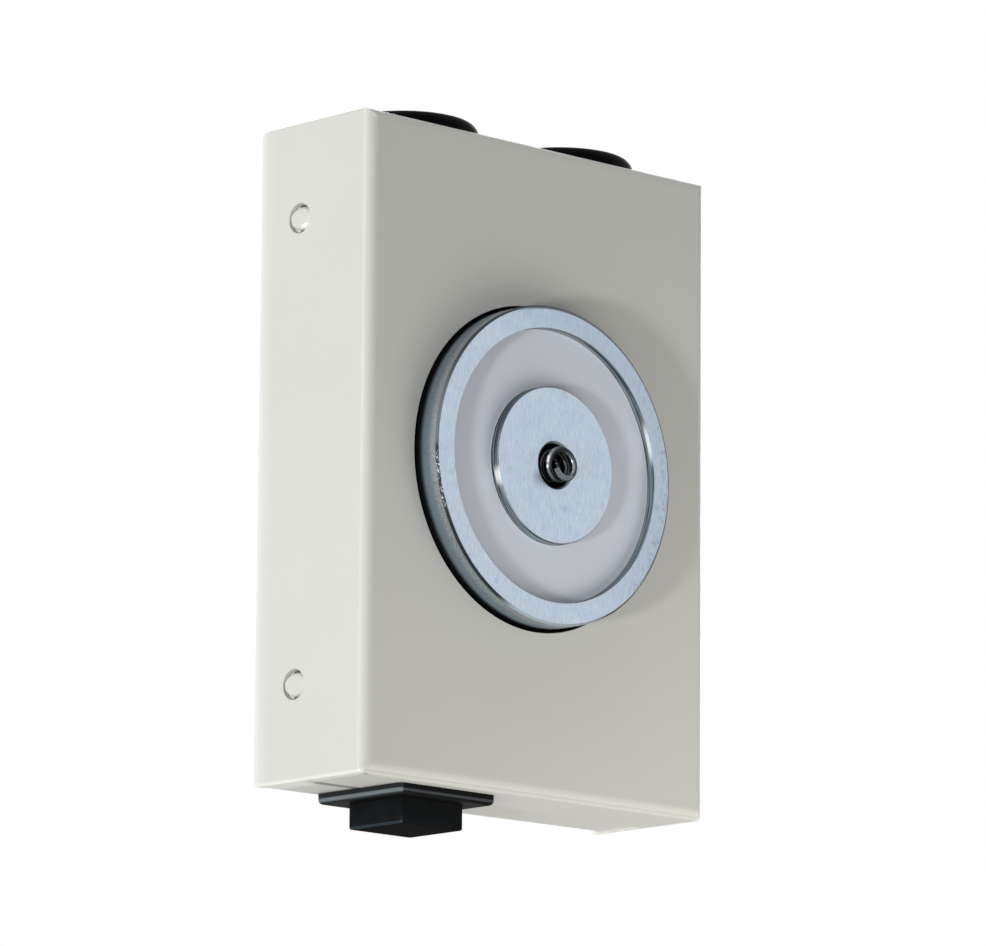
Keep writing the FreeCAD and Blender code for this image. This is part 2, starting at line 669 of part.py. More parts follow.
def button_housing():
    """Square bezel under the case and the switch body that passes up through it."""
    bezel = button_box(BEZEL_X, BEZEL_Y, BEZEL_LOW, -HALF_H)
    bezel = round_edges(bezel, BEZEL_ROUND, lambda e: runs_along(e, 2))
    bezel = round_edges(bezel, BEZEL_ROUND * 0.9, lambda e: at_z(e, BEZEL_LOW))
    body = button_box(BODY_X, BODY_Y, -HALF_H, BODY_TOP)
    body = round_edges(body, BODY_WALL * 0.5, lambda e: runs_along(e, 2))
    shape = bezel.fuse(body)
    shoulder_z = CAP_TOP - CAP_SHOULDER_THICK
    shape = shape.cut(button_box(CAP_X + 2 * CAP_GAP, CAP_Y + 2 * CAP_GAP, BEZEL_LOW - 1, BODY_TOP + 1))
    shape = shape.cut(button_box(BODY_IN_X, BODY_IN_Y, shoulder_z, BODY_TOP + 1))
    partition = button_box(BODY_IN_X, BODY_IN_Y, PARTITION_LOW, CONTACT_LOW)
    guide = STEM + 2 * CAP_GAP
    partition = partition.cut(button_box(guide, guide, PARTITION_LOW - 1, CONTACT_LOW + 1))
    shape = shape.fuse(partition)
    for side in (-1, 1):
        shape = shape.fuse(snap_lug(side))
    return shape.removeSplitter()


def snap_lug(side):
    """Wedge on the switch body that holds it above the base plate's flange."""
    foot = -BASE_IN_Z + CAST_GAP
    face = BUTTON_X + side * (BODY_X / 2 - BODY_WALL / 2)
    edge = BUTTON_X + side * (BODY_X / 2 + LUG_REACH)
    corners = [(face, foot), (edge, foot), (face, foot + LUG_HEIGHT), (face, foot)]
    y = BUTTON_Y - LUG_WIDTH / 2
    outline = Part.makePolygon([point(u, y, v) for u, v in corners])
    return Part.Face(outline).extrude(point(0, LUG_WIDTH, 0))


def button_cap():
    """The square button, its shoulder and the stem that carries the contact bridge."""
    shape = button_box(CAP_X, CAP_Y, CAP_LOW, CAP_TOP)
    shape = round_edges(shape, CAP_ROUND, lambda e: runs_along(e, 2) or at_z(e, CAP_LOW))
    wide = CAP_X + 2 * CAP_SHOULDER
    deep = CAP_Y + 2 * CAP_SHOULDER
    shoulder = button_box(wide, deep, CAP_TOP - CAP_SHOULDER_THICK, CAP_TOP)
    stem = button_box(STEM, STEM, CAP_TOP, CONTACT_TOP)
    tip = button_box(STEM_TIP, STEM_TIP, CONTACT_TOP, STEM_TOP)
    return shape.fuse(shoulder).fuse(stem).fuse(tip).removeSplitter()


def button_spring():
    length = PARTITION_LOW - CAP_TOP
    spring = coil_spring(BUTTON_SPRING_DIAMETER, BUTTON_SPRING_WIRE, BUTTON_SPRING_PITCH, length)
    spring.translate(point(BUTTON_X, BUTTON_Y, CAP_TOP))
    return spring


def contact_bridge():
    """Strip on the stem that joins the two terminals until the button is pressed."""
    shape = button_box(BRIDGE_LENGTH, CONTACT_WIDTH, CONTACT_TOP, CONTACT_TOP + CONTACT_SHEET)
    hole = STEM_TIP + 2 * CAST_GAP
    return shape.cut(button_box(hole, hole, CONTACT_TOP - 1, STEM_TOP))


def switch_terminal(side):
    """Strip that lies on the partition and leaves through the lid as a solder tail."""
    half = CONTACT_SHEET / 2
    tail = BUTTON_X + side * TERMINAL_X
    seat = BUTTON_X + side * CONTACT_SEAT_X
    path = [(seat, CONTACT_LOW + half), (tail, CONTACT_LOW + half), (tail, TAIL_TOP)]
    y0 = BUTTON_Y - CONTACT_WIDTH / 2
    return strip(path, CONTACT_SHEET, CONTACT_SHEET / 2, y0, y0 + CONTACT_WIDTH, across_y)


def switch_end_cap():
    """Lid on the switch body, with a slot for each terminal."""
    gap = CAST_GAP
    shape = button_box(BODY_IN_X - 2 * gap, BODY_IN_Y - 2 * gap, BODY_TOP - SWITCH_LID, BODY_TOP)
    rim = button_box(BODY_X, BODY_Y, BODY_TOP, BODY_TOP + SWITCH_LID / 2)
    shape = shape.fuse(round_edges(rim, SWITCH_LID / 4, lambda e: at_z(e, BODY_TOP + SWITCH_LID / 2)))
    for side in (-1, 1):
        x = BUTTON_X + side * TERMINAL_X
        half_x = CONTACT_SHEET / 2 + gap
        half_y = CONTACT_WIDTH / 2 + gap
        slot = block(x - half_x, x + half_x, BUTTON_Y - half_y, BUTTON_Y + half_y, CONTACT_TOP, TAIL_TOP)
        shape = shape.cut(slot)
    return shape.removeSplitter()


def poles():
    return [-POLE_PITCH, 0, POLE_PITCH]


def clamp_screw_heights():
    middle = BLOCK_LOW_Z + BLOCK_HEIGHT / 2
    return [middle - CLAMP_SCREW_SPACING / 2, middle + CLAMP_SCREW_SPACING / 2]


def clamp_front():
    return CLAMP_BACK_Y - CLAMP_DEEP


def terminal_block():
    """Moulded block with a tunnel for each pole, a well over each screw and two fixing holes."""
    shape = block(-BLOCK_X / 2, BLOCK_X / 2, BLOCK_FRONT, -BASE_SHEET, BLOCK_LOW_Z, BLOCK_TOP_Z)
    shape = round_edges(shape, BLOCK_ROUND, lambda e: at_y(e, BLOCK_FRONT) or runs_along(e, 1))
    half = CLAMP_X / 2 + CLAMP_GAP
    for x in poles():
        tunnel = block(
            x - half, x + half, clamp_front() - CLAMP_GAP, CLAMP_BACK_Y, BLOCK_LOW_Z - 1, BLOCK_TOP_Z + 1
        )
        shape = shape.cut(tunnel)
        for z in clamp_screw_heights():
            well = CLAMP_SCREW_HEAD / 2 + HOLE_GAP
            shape = shape.cut(rod_y(x, z, well, BLOCK_FRONT - 1, clamp_front()))
    middle = BLOCK_LOW_Z + BLOCK_HEIGHT / 2
    seat = -BASE_SHEET - FIXING_SINK
    for x in (-FIXING_X, FIXING_X):
        shape = shape.cut(rod_y(x, middle, FIXING_DIAMETER / 2 + HOLE_GAP, BLOCK_FRONT - 1, 1))
        shape = shape.cut(rod_y(x, middle, FIXING_HEAD / 2 + HOLE_GAP, BLOCK_FRONT - 1, seat))
    return shape


def terminal_clamps():
    """Three brass clamps, each with a slot for wires and two screw holes."""
    clamps = []
    for x in poles():
        low = BLOCK_LOW_Z + CLAMP_SHORT
        high = BLOCK_TOP_Z - CLAMP_SHORT
        clamp = block(x - CLAMP_X / 2, x + CLAMP_X / 2, clamp_front(), CLAMP_BACK_Y, low, high)
        half = WIRE_SLOT_X / 2
        slot_front = SLOT_BACK_Y - WIRE_SLOT_DEEP
        clamp = clamp.cut(block(x - half, x + half, slot_front, SLOT_BACK_Y, low - 1, high + 1))
        for z in clamp_screw_heights():
            radius = CLAMP_SCREW / 2 + THREAD_GAP
            clamp = clamp.cut(rod_y(x, z, radius, clamp_front() - 1, SLOT_BACK_Y - CAST_GAP))
        clamps.append(clamp)
    return Part.makeCompound(clamps)


def slotted_screw(shank, head, head_thick, length):
    """A screw along +Z: the tip at 0 and the slotted head on top."""
    top = length + head_thick
    shape = rod_z(0, 0, shank / 2, 0, length).fuse(rod_z(0, 0, head / 2, length, top))
    shape = round_edges(shape, head_thick / 4, lambda e: at_z(e, top)).removeSplitter()
    return shape.cut(block(-head, head, -SCREW_SLOT / 2, SCREW_SLOT / 2, top - head_thick / 2, top + 1))


def terminal_screws():
    """The clamp screws, each resting on the wires in its slot."""
    tip = WIRE_Y - BARE_DIAMETER / 2 - CAST_GAP
    length = tip - clamp_front()
    screws = []
    for x in poles():
        for z in clamp_screw_heights():
            screw = slotted_screw(CLAMP_SCREW, CLAMP_SCREW_HEAD, CLAMP_SCREW_HEAD_THICK, length)
            screws.append(facing_front(screw, x, tip, z))
    return Part.makeCompound(screws)


def terminal_fixing_screws():
    """Two screws that hold the block on the base plate, flush behind it."""
    middle = BLOCK_LOW_Z + BLOCK_HEIGHT / 2
    length = BASE_SHEET + FIXING_SINK - CAST_GAP
    screw = slotted_screw(FIXING_DIAMETER, FIXING_HEAD, FIXING_HEAD_THICK, length)
    return Part.makeCompound([facing_front(screw, x, -CAST_GAP, middle) for x in (-FIXING_X, FIXING_X)])


def wired_lead(insulated, bare):
    """One lead: its insulated run and the bare ends that stand out of it."""
    shape = tube(insulated, LEAD_DIAMETER)
    for start, end in bare:
        line = FreeCAD.Vector(*end) - FreeCAD.Vector(*start)
        shape = shape.fuse(Part.makeCylinder(BARE_DIAMETER / 2, line.Length, FreeCAD.Vector(*start), line))
    return shape.removeSplitter()


def pole_end(x):
    """The bare end in a clamp, from inside the insulation up."""
    return ((x, WIRE_Y, INSULATION_TOP - 1), (x, WIRE_Y, BARE_TOP))


def coil_lead(offset, target):
    """From the winding through the floor of the cup, and up behind the magnet to a clamp."""
    x = LEAD_HOLE_X + offset
    start = CUP_IN_Y - BOBBIN_WALL
    behind = (CUP_BACK - BASE_SHEET) / 2
    route = [
        (x, start, LEAD_HOLE_Z),
        (x, behind, LEAD_HOLE_Z),
        (x, behind, COIL_LEAD_BEND_Z - offset),
        (target, WIRE_Y, COIL_LEAD_TOP_Z - offset),
        (target, WIRE_Y, INSULATION_TOP),
    ]
    return wired_lead(route, [pole_end(target)])


def tail_side(side):
    """Where a bare wire lies against a terminal's tail, on the side away from the other one."""
    return BUTTON_X + side * (TERMINAL_X + CONTACT_SHEET / 2 + BARE_DIAMETER / 2 + CAST_GAP)


def switch_lead(side, lane, target):
    """From a switch terminal up along the base plate, behind the magnet, to a clamp."""
    x = tail_side(side)
    solder = TAIL_TOP - TERMINAL_TAIL / 2
    route = [
        (x, BUTTON_Y, TAIL_TOP + SWITCH_LEAD_ENTRY),
        (x, BUTTON_Y, TAIL_TOP + SWITCH_LEAD_RISE),
        (lane, SWITCH_LEAD_LOW_Y, SWITCH_LEAD_LOW_Z),
        (lane, LEAD_Y, SWITCH_LEAD_FLAT_Z),
        (lane, LEAD_Y, SWITCH_LEAD_END_Z),
        ((lane + target) / 2, SWITCH_LEAD_FAN_Y, SWITCH_LEAD_FAN_Z + (target - lane) / 14),
        (target, WIRE_Y, SWITCH_LEAD_TOP_Z),
        (target, WIRE_Y, INSULATION_TOP),
    ]
    bare = ((x, BUTTON_Y, solder), (x, BUTTON_Y, TAIL_TOP + BARE_START))
    return wired_lead(route, [bare, pole_end(target)])


def lane(side):
    """The two switch leads lie side by side behind the magnet."""
    return BUTTON_X - SWITCH_LEAD_INSET + side * LEAD_SPACING / 2


def lead_sleeves():
    """Shrunk sleeves over the soldered tails."""
    sleeves = []
    for side in (-1, 1):
        near = BUTTON_X + side * (TERMINAL_X - CONTACT_SHEET / 2 - CAST_GAP)
        far = tail_side(side) + side * (LEAD_DIAMETER / 2 + CAST_GAP)
        x0, x1 = sorted([near, far])
        half = CONTACT_WIDTH / 2 + CAST_GAP
        low = BODY_TOP + SWITCH_LID / 2 + CAST_GAP
        wall = SLEEVE_WALL
        y0 = BUTTON_Y - half
        y1 = BUTTON_Y + half
        top = low + SLEEVE_LENGTH
        shape = block(x0 - wall, x1 + wall, y0 - wall, y1 + wall, low, top)
        shape = round_edges(shape, wall * 1.2, lambda e: runs_along(e, 2))
        shape = shape.cut(block(x0, x1, y0, y1, low - 1, top + 1))
        sleeves.append(shape)
    return Part.makeCompound(sleeves)


def lead_clip():
    """Clip stuck to the base plate over the two switch leads."""
    middle = (lane(-1) + lane(1)) / 2
    front = LEAD_Y - LEAD_DIAMETER / 2 - CAST_GAP
    half = CLIP_X / 2
    shape = block(middle - half, middle + half, front - CLIP_WALL, -BASE_SHEET, -CLIP_Z / 2, CLIP_Z / 2)
    shape = round_edges(shape, CLIP_WALL, lambda e: runs_along(e, 2) and e.BoundBox.YMax < front)
    half = LEAD_SPACING / 2 + LEAD_DIAMETER / 2 + CAST_GAP
    back = LEAD_Y + LEAD_DIAMETER / 2 + CAST_GAP
    return shape.cut(block(middle - half, middle + half, front, back, -CLIP_Z, CLIP_Z))


def suppressor_diode():
    """Diode across the coil's two clamps: its body and its two bent wires, as one piece."""
    x0 = 0.0
    x1 = POLE_PITCH - LEAD_SPACING / 4
    low = BLOCK_LOW_Z - DIODE_DROP
    route = [
        (x0, WIRE_Y, BARE_TOP),
        (x0, WIRE_Y, low),
        (x0, DIODE_Y, low),
        (x1, DIODE_Y, low),
        (x1, WIRE_Y, low),
        (x1, WIRE_Y, BARE_TOP),
    ]
    middle = (x0 + x1) / 2
    body = rod_x(DIODE_Y, low, DIODE_DIAMETER / 2, middle - DIODE_LENGTH / 2, middle + DIODE_LENGTH / 2)
    body = round_edges(body, DIODE_DIAMETER / 8, lambda e: not runs_along(e, 0))
    return tube(route, DIODE_WIRE, 1.5).fuse(body).removeSplitter()


side_wire = LEAD_SPACING / 2

NODES = {
    "cover": cover,
    "base_plate": base_plate,
    "magnet_bracket": magnet_bracket,
    "bracket_studs": bracket_studs,
    "bracket_nuts": bracket_nuts,
    "magnet_cup": magnet_cup,
    "magnet_core": magnet_core,
    "coil_bobbin": coil_bobbin,
    "coil_winding": coil_winding,
    "potting_resin": potting_resin,
    "ejector_spring": ejector_spring,
    "magnet_screw": magnet_screw,
    "spring_washer": spring_washer,
    "cable_grommet_left": lambda: cable_grommet(-GROMMET_X),
    "cable_grommet_right": lambda: cable_grommet(GROMMET_X),
    "button_housing": button_housing,
    "button_cap": button_cap,
    "button_spring": button_spring,
    "contact_bridge": contact_bridge,
    "switch_terminal_left": lambda: switch_terminal(-1),
    "switch_terminal_right": lambda: switch_terminal(1),
    "switch_end_cap": switch_end_cap,
    "terminal_block": terminal_block,
    "terminal_clamps": terminal_clamps,
    "terminal_screws": terminal_screws,
    "terminal_fixing_screws": terminal_fixing_screws,
    "coil_lead_first": lambda: coil_lead(-LEAD_DIAMETER * 0.6, side_wire),
    "coil_lead_second": lambda: coil_lead(LEAD_DIAMETER * 0.6, POLE_PITCH + side_wire),
    "switch_lead_first": lambda: switch_lead(-1, lane(-1), -POLE_PITCH),
    "switch_lead_second": lambda: switch_lead(1, lane(1), -side_wire),
    "lead_sleeves": lead_sleeves,
    "lead_clip": lead_clip,
    "suppressor_diode": suppressor_diode,
}

os.makedirs("parts", exist_ok=True)
for name, make in NODES.items():
    shape = make()
    shape.exportStep("parts/" + name + ".step")
    box = shape.BoundBox
    size = [round(v, 2) for v in (box.XLength, box.YLength, box.ZLength)]
    print(name, len(shape.Solids), "valid", shape.isValid(), "volume", round(shape.Volume, 1), "size", size)
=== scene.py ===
# %% [markdown]
# # A wall magnet that holds a door open
#
# The object is a small painted box that is screwed to a wall. A round electromagnet
# stands a few millimetres out of its front, two rubber grommets on the top let the supply
# cable in, and a square push button under the box lets the door go.
#
# The packed model is the frame: every piece of the construction is already in its place, in
# metres, with the wall at y = 0, the front facing -Y and Z up. This lesson gives each piece
# its finish, and models again the pieces whose looks need more than the construction has.

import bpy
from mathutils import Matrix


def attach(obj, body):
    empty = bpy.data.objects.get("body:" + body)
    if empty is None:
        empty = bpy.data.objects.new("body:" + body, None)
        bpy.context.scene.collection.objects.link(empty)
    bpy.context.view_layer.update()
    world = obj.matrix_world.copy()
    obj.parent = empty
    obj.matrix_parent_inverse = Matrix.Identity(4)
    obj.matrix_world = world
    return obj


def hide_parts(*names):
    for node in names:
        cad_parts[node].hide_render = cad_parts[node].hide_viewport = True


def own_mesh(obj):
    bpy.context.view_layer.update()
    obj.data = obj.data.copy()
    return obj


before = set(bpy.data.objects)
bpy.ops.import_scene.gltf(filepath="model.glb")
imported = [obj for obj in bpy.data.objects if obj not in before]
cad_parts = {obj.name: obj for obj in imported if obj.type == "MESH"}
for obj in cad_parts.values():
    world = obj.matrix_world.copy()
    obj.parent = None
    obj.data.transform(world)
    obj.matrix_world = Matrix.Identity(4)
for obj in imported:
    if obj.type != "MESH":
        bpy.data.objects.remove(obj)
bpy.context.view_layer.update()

# %% [markdown]
# ## Tools for the lesson
#
# Blender's own module, its vectors and matrices, and Python's mathematics are all that is
# needed. Sizes are easier to think of in millimetres, so `MM` turns them into metres.
# Corners of a mesh that lie closer than `MERGE_DISTANCE` are one corner.

# %% Tools
import math
import bpy
from mathutils import Matrix, Vector

MM = 0.001
MERGE_DISTANCE = 0.002 * MM
QUARTER_TURN = math.radians(90)
scene = bpy.context.scene

# %% [markdown]
# ## The camera
#
# The box was looked at from its left and from a little below, with a long lens, so that its
# edges hardly converge. The camera is set by its compass angle round the object, its height
# angle, a small roll and a distance from a target inside the box. Setting a matrix from
# three axes is more exact than turning the camera by hand.

# %% Camera
IMAGE_WIDTH = 986
CAMERA_AZIMUTH = math.radians(-43.427)
CAMERA_ELEVATION = math.radians(-10.901)
CAMERA_ROLL = math.radians(0.443)
CAMERA_DISTANCE = 1451.3 * MM
CAMERA_TARGET = Vector((2.457, -16.93, 1.602)) * MM
FOCAL_PIXELS = 6804.3
SENSOR = 36.0


def camera_axes(azimuth, elevation, roll):
    """The camera's right, up and backward axes."""
    level = math.cos(elevation)
    back = Vector((math.sin(azimuth) * level, -math.cos(azimuth) * level, math.sin(elevation)))
    right = Vector((math.cos(azimuth), math.sin(azimuth), 0))
    up = back.cross(right)
    turned_right = right * math.cos(roll) + up * math.sin(roll)
    turned_up = up * math.cos(roll) - right * math.sin(roll)
    return turned_right, turned_up, back


axes = camera_axes(CAMERA_AZIMUTH, CAMERA_ELEVATION, CAMERA_ROLL)
bpy.ops.object.camera_add()
camera = bpy.context.object
camera.name = "camera"
stand = Matrix.Translation(CAMERA_TARGET + axes[2] * CAMERA_DISTANCE)
camera.matrix_world = stand @ Matrix(axes).transposed().to_4x4()
camera.data.sensor_width = SENSOR
camera.data.lens = FOCAL_PIXELS * SENSOR / IMAGE_WIDTH
camera.data.clip_start = 0.1
scene.camera = camera
scene.view_settings.view_transform = "Standard"
print("camera at", [round(v, 3) for v in camera.location])
print("lens", round(camera.data.lens, 1), "mm")

# %% [markdown]
# ## Shader sums written as Python
#
# A finish is a small sum: how far is this point from the axis, is it on a rim, how strong is
# the grain here. A socket wrapped in `Signal` can stand in such a sum as a number does, and
# each operator adds the Math node that it means. The reflected operators make `1 - mask`
# work as well as `mask - 1`, and `abs` takes the sign away.

# %% Signal


class Signal:
    """A socket of one finish, used in sums as if it were a number."""

    def __init__(self, finish, socket):
        self.finish = finish
        self.socket = socket

    def sum(self, operation, first, second):
        return self.finish.node("Math", {"operation": operation}, {0: first, 1: second}, "Value")

    def __add__(self, other):
        return self.sum("ADD", self, other)

    def __radd__(self, other):
        return self.sum("ADD", other, self)

    def __sub__(self, other):
        return self.sum("SUBTRACT", self, other)

    def __rsub__(self, other):
        return self.sum("SUBTRACT", other, self)

    def __mul__(self, other):
        return self.sum("MULTIPLY", self, other)

    def __rmul__(self, other):
        return self.sum("MULTIPLY", other, self)

    def __truediv__(self, other):
        return self.sum("DIVIDE", self, other)

    def __abs__(self):
        return self.finish.node("Math", {"operation": "ABSOLUTE"}, {0: self}, "Value")


print("a signal has", [name for name in vars(Signal) if callable(getattr(Signal, name))])

# %% [markdown]
# ## A finish
#
# `Finish` holds one material. Its `node` method makes any node: first the settings, then the
# sockets, each given a value or a link, and it returns the output that is wanted. The other
# methods only give short names to nodes that are used often. Patterns read the object's own
# coordinates in millimetres, so they stay on the piece from every side.

# %% Finish


class Finish:
    """One material with a single principled shader."""

    def __init__(self, name, **constants):
        self.material = bpy.data.materials.new(name)
        self.material.use_nodes = True
        self.nodes = self.material.node_tree.nodes
        self.links = self.material.node_tree.links
        self.nodes.clear()
        self.shader = self.nodes.new("ShaderNodeBsdfPrincipled")
        self.output = self.nodes.new("ShaderNodeOutputMaterial")
        self.links.new(self.shader.outputs[0], self.output.inputs["Surface"])
        for key, value in constants.items():
            self.shader.inputs[key.replace("_", " ")].default_value = value
        metres = self.node("TexCoord", {}, {}, "Object")
        self.place = self.vector("SCALE", {0: metres, "Scale": 1 / MM}, "Vector")

    def node(self, kind, settings, inputs, output):
        """Any node: its settings, what goes into its sockets, and the output that is wanted."""
        made = self.nodes.new("ShaderNode" + kind)
        for key, value in settings.items():
            setattr(made, key, value)
        for key, value in inputs.items():
            if isinstance(value, Signal):
                self.links.new(value.socket, made.inputs[key])
            else:
                made.inputs[key].default_value = value
        return Signal(self, made.outputs[output])

    def vector(self, operation, inputs, output):
        """A sum of places."""
        return self.node("VectorMath", {"operation": operation}, inputs, output)

    def axis(self, name):
        """One coordinate of the point, in millimetres."""
        return self.node("SeparateXYZ", {}, {0: self.place}, name)

    def stretched(self, x, y, z):
        """The point's coordinates, each multiplied by its own number."""
        return self.vector("MULTIPLY", {0: self.place, 1: (x, y, z)}, "Vector")

    def radius(self, x, z):
        """Distance from a line along Y through x, z."""
        flat = self.stretched(1, 0, 1)
        return self.vector("DISTANCE", {0: flat, 1: (x, 0, z)}, "Value")

    def noise(self, scale, detail=3.0, roughness=0.5, at=None):
        """Cloudy noise from 0 to 1, with scale patches to the millimetre."""
        place = at or self.place
        inputs = {"Vector": place, "Scale": scale, "Detail": detail, "Roughness": roughness}
        return self.node("TexNoise", {}, inputs, "Fac")

    def step(self, value, low, high):
        """0 below low, 1 above high, and smooth between them."""
        settings = {"interpolation_type": "SMOOTHSTEP", "clamp": True}
        inputs = {"Value": value, "From Min": low, "From Max": high, "To Min": 0.0, "To Max": 1.0}
        return self.node("MapRange", settings, inputs, "Result")

    def band(self, value, low, rise, fall, high):
        """1 from rise to fall, and 0 below low and above high."""
        return self.step(value, low, rise) * (1 - self.step(value, fall, high))

    def spot(self, place, inner, outer, stretch=(1, 1, 1)):
        """1 round a place, in millimetres, and 0 outside it."""
        there = [value * scale for value, scale in zip(place, stretch)]
        away = self.vector("DISTANCE", {0: self.stretched(*stretch), 1: there}, "Value")
        return 1 - self.step(away, inner, outer)

    def tint(self, share, first, second):
        """A colour between two colours: 0, 6 and 7 are the Mix node's sockets for them."""
        return self.node("Mix", {"data_type": "RGBA"}, {0: share, 6: first, 7: second}, 2)

    def bump(self, height, depth, under=None):
        """A normal from a height, where depth is in millimetres."""
        values = {"Height": height, "Distance": depth * MM, "Strength": 1.0}
        if under is not None:
            values["Normal"] = under
        return self.node("Bump", {}, values, "Normal")

    def wear(self, **sockets):
        """Links what changes over the surface to the shader."""
        for key, value in sockets.items():
            self.links.new(value.socket, self.shader.inputs[key.replace("_", " ")])


def srgb(red, green, blue):
    """A colour as it is seen on a screen, 0 to 255, turned into light."""
    values = []
    for value in (red, green, blue):
        share = value / 255
        values.append(share / 12.92 if share <= 0.04045 else ((share + 0.055) / 1.055) ** 2.4)
    return (*values, 1.0)


def dress(finish, *names):
    """Gives a finish to nodes of the frame."""
    for name in names:
        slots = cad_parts[name].data.materials
        slots.clear()
        slots.append(finish.material)


print("screen grey 188 is light", round(srgb(188, 188, 188)[0], 3))

# %% [markdown]
# ## Light and background
#
# The studio is plain. A small lamp at the left, and a little below the box, throws the
# magnet's shadow to the upper right, and a softer one beside it lights the side. Two weak
# ones stand low on the right for the light that a pale table throws back up, and others
# stand above and behind. A white world is seen by the camera and in the metal, but only a
# sixth of it lights the paint, so the box keeps a bright and a shaded face. The floor lies
# far below the box. It shines a little to the camera, so that it looks pale, and from
# underneath it is clear.

# %% World and floor
AMBIENT = 0.17
FLOOR_HEIGHT = -0.9

world = bpy.data.worlds.new("studio")
scene.world = world
world.use_nodes = True
tree = world.node_tree
tree.nodes.clear()
rays = tree.nodes.new("ShaderNodeLightPath")
seen = tree.nodes.new("ShaderNodeMath")
seen.operation = "MAXIMUM"
tree.links.new(rays.outputs["Is Camera Ray"], seen.inputs[0])
tree.links.new(rays.outputs["Is Glossy Ray"], seen.inputs[1])
shades = []
for level in (AMBIENT, 1.0):
    background = tree.nodes.new("ShaderNodeBackground")
    background.inputs["Color"].default_value = (level, level, level, 1)
    shades.append(background)
pick = tree.nodes.new("ShaderNodeMixShader")
tree.links.new(seen.outputs[0], pick.inputs[0])
tree.links.new(shades[0].outputs[0], pick.inputs[1])
tree.links.new(shades[1].outputs[0], pick.inputs[2])
world_out = tree.nodes.new("ShaderNodeOutputWorld")
tree.links.new(pick.outputs[0], world_out.inputs["Surface"])

bpy.ops.object.select_all(action="DESELECT")
bpy.ops.mesh.primitive_plane_add(size=12, location=(0, 0, FLOOR_HEIGHT))
floor = bpy.context.object
floor.name = "floor"
table = Finish("pale_floor", Roughness=0.8, Emission_Strength=1.0)
pale = table.tint(table.noise(0.01), srgb(234, 234, 232), srgb(239, 239, 237))
looked_at = table.node("LightPath", {}, {}, "Is Camera Ray")
mirrored = table.node("LightPath", {}, {}, "Is Glossy Ray")
shine = table.tint(looked_at * 0.62 + mirrored * 0.06, srgb(0, 0, 0), pale)
table.wear(Base_Color=pale, Emission_Color=shine)
from_below = table.node("NewGeometry", {}, {}, "Backfacing")
clear = table.node("BsdfTransparent", {}, {}, "BSDF")
lit = Signal(table, table.shader.outputs[0])
seen_through = table.node("MixShader", {}, {0: from_below, 1: lit, 2: clear}, "Shader")
table.links.new(seen_through.socket, table.output.inputs["Surface"])
floor.data.materials.append(table.material)
print("floor at", FLOOR_HEIGHT, "ambient", AMBIENT)

# %% Lamps


def lamp(name, place, target, size, power, colour=(1, 1, 1), in_metal=True):
    """A square soft lamp that looks at a target and isn't seen itself."""
    bpy.ops.object.light_add(type="AREA", location=place)
    made = bpy.context.object
    made.name = name
    made.data.shape = "SQUARE"
    made.data.size = size
    made.data.energy = power
    made.data.color = colour
    made.rotation_euler = (Vector(target) - Vector(place)).to_track_quat("-Z", "Y").to_euler()
    made.visible_camera = False
    made.visible_glossy = in_metal


def around(azimuth, height):
    """A place round the object: 0 is in front, and -90 is at its left."""
    angle = math.radians(azimuth)
    return (math.sin(angle) * LAMP_DISTANCE, -math.cos(angle) * LAMP_DISTANCE, height)


WARM = (1.0, 0.97, 0.92)
MIDDLE = (0, 0, 0)
LAMP_DISTANCE = 1.6
lamp("key", around(-72, -0.43), MIDDLE, 0.17, 12.1)
lamp("side", around(-108, 0.3), MIDDLE, 0.6, 7.8)
lamp("table_glow", (0.17, -0.3, -0.27), (0.03, -0.02, -0.05), 0.42, 0.3, WARM)
lamp("near_glow", (0.13, -0.18, -0.2), (0.04, -0.03, -0.06), 0.2, 0.2, WARM, in_metal=False)
lamp("above", (0.1, -0.1, 1.3), MIDDLE, 0.8, 2.4, in_metal=False)
lamp("behind", around(128, 0.4), MIDDLE, 0.8, 17)

# %% [markdown]
# ## Painted sheet
#
# The cover and the plate behind it are folded steel with a sprayed, half-gloss cream paint.
# Sprayed paint is never a flat colour: it has a slight clouding, a fine skin like orange
# peel, a few sunken pits, and the sheet under it is not perfectly even. Each of these is a
# noise of its own size. The slow cloud changes the colour and the gloss, the peel changes
# the gloss a little, and the ripple, the peel and the pits tilt the surface. Painted
# highlights lie on the side panels' rear and lower edges, on the bends, under the box and on
# the snap bumps, and painted shade lies in the seam, along the lower bend and in the slits
# at the snap bumps.

# %% Painted sheet
paint = Finish("cream_paint", Specular_IOR_Level=0.42)
cloud = paint.noise(0.022, 2.0)
ripple = paint.noise(0.06, 1.5)
peel = paint.noise(1.1, 2.0, 0.6)
pits = paint.step(paint.noise(1.9, 1.0), 0.76, 0.84)
across = paint.axis("X")
depth = paint.axis("Y")
height = paint.axis("Z")
cream = paint.tint(cloud, srgb(219, 219, 213), srgb(225, 225, 219))

# %% Painted highlights, painted shade and a chip on the edges
# Painted highlight: the side panels are paler along their rear and lower edges.
side_panel = paint.step(abs(across), 48.2, 48.6)
rear_edge = paint.step(depth, -5.0, 0.0) * 0.45 + paint.step(depth, -1.6, -0.6) * 0.4
low_edge = paint.step(-1 * height, 69.0, 69.7)
side_edge_highlight = side_panel * (1 - (1 - rear_edge) * (1 - low_edge * 0.85))
cream = paint.tint(side_edge_highlight, cream, srgb(243, 243, 238))
# Painted highlight along the top bend.
top_bend_highlight = paint.band(height, 67.5, 68.9, 69.9, 69.99) * (1 - side_panel)
cream = paint.tint(top_bend_highlight, cream, srgb(251, 249, 243))
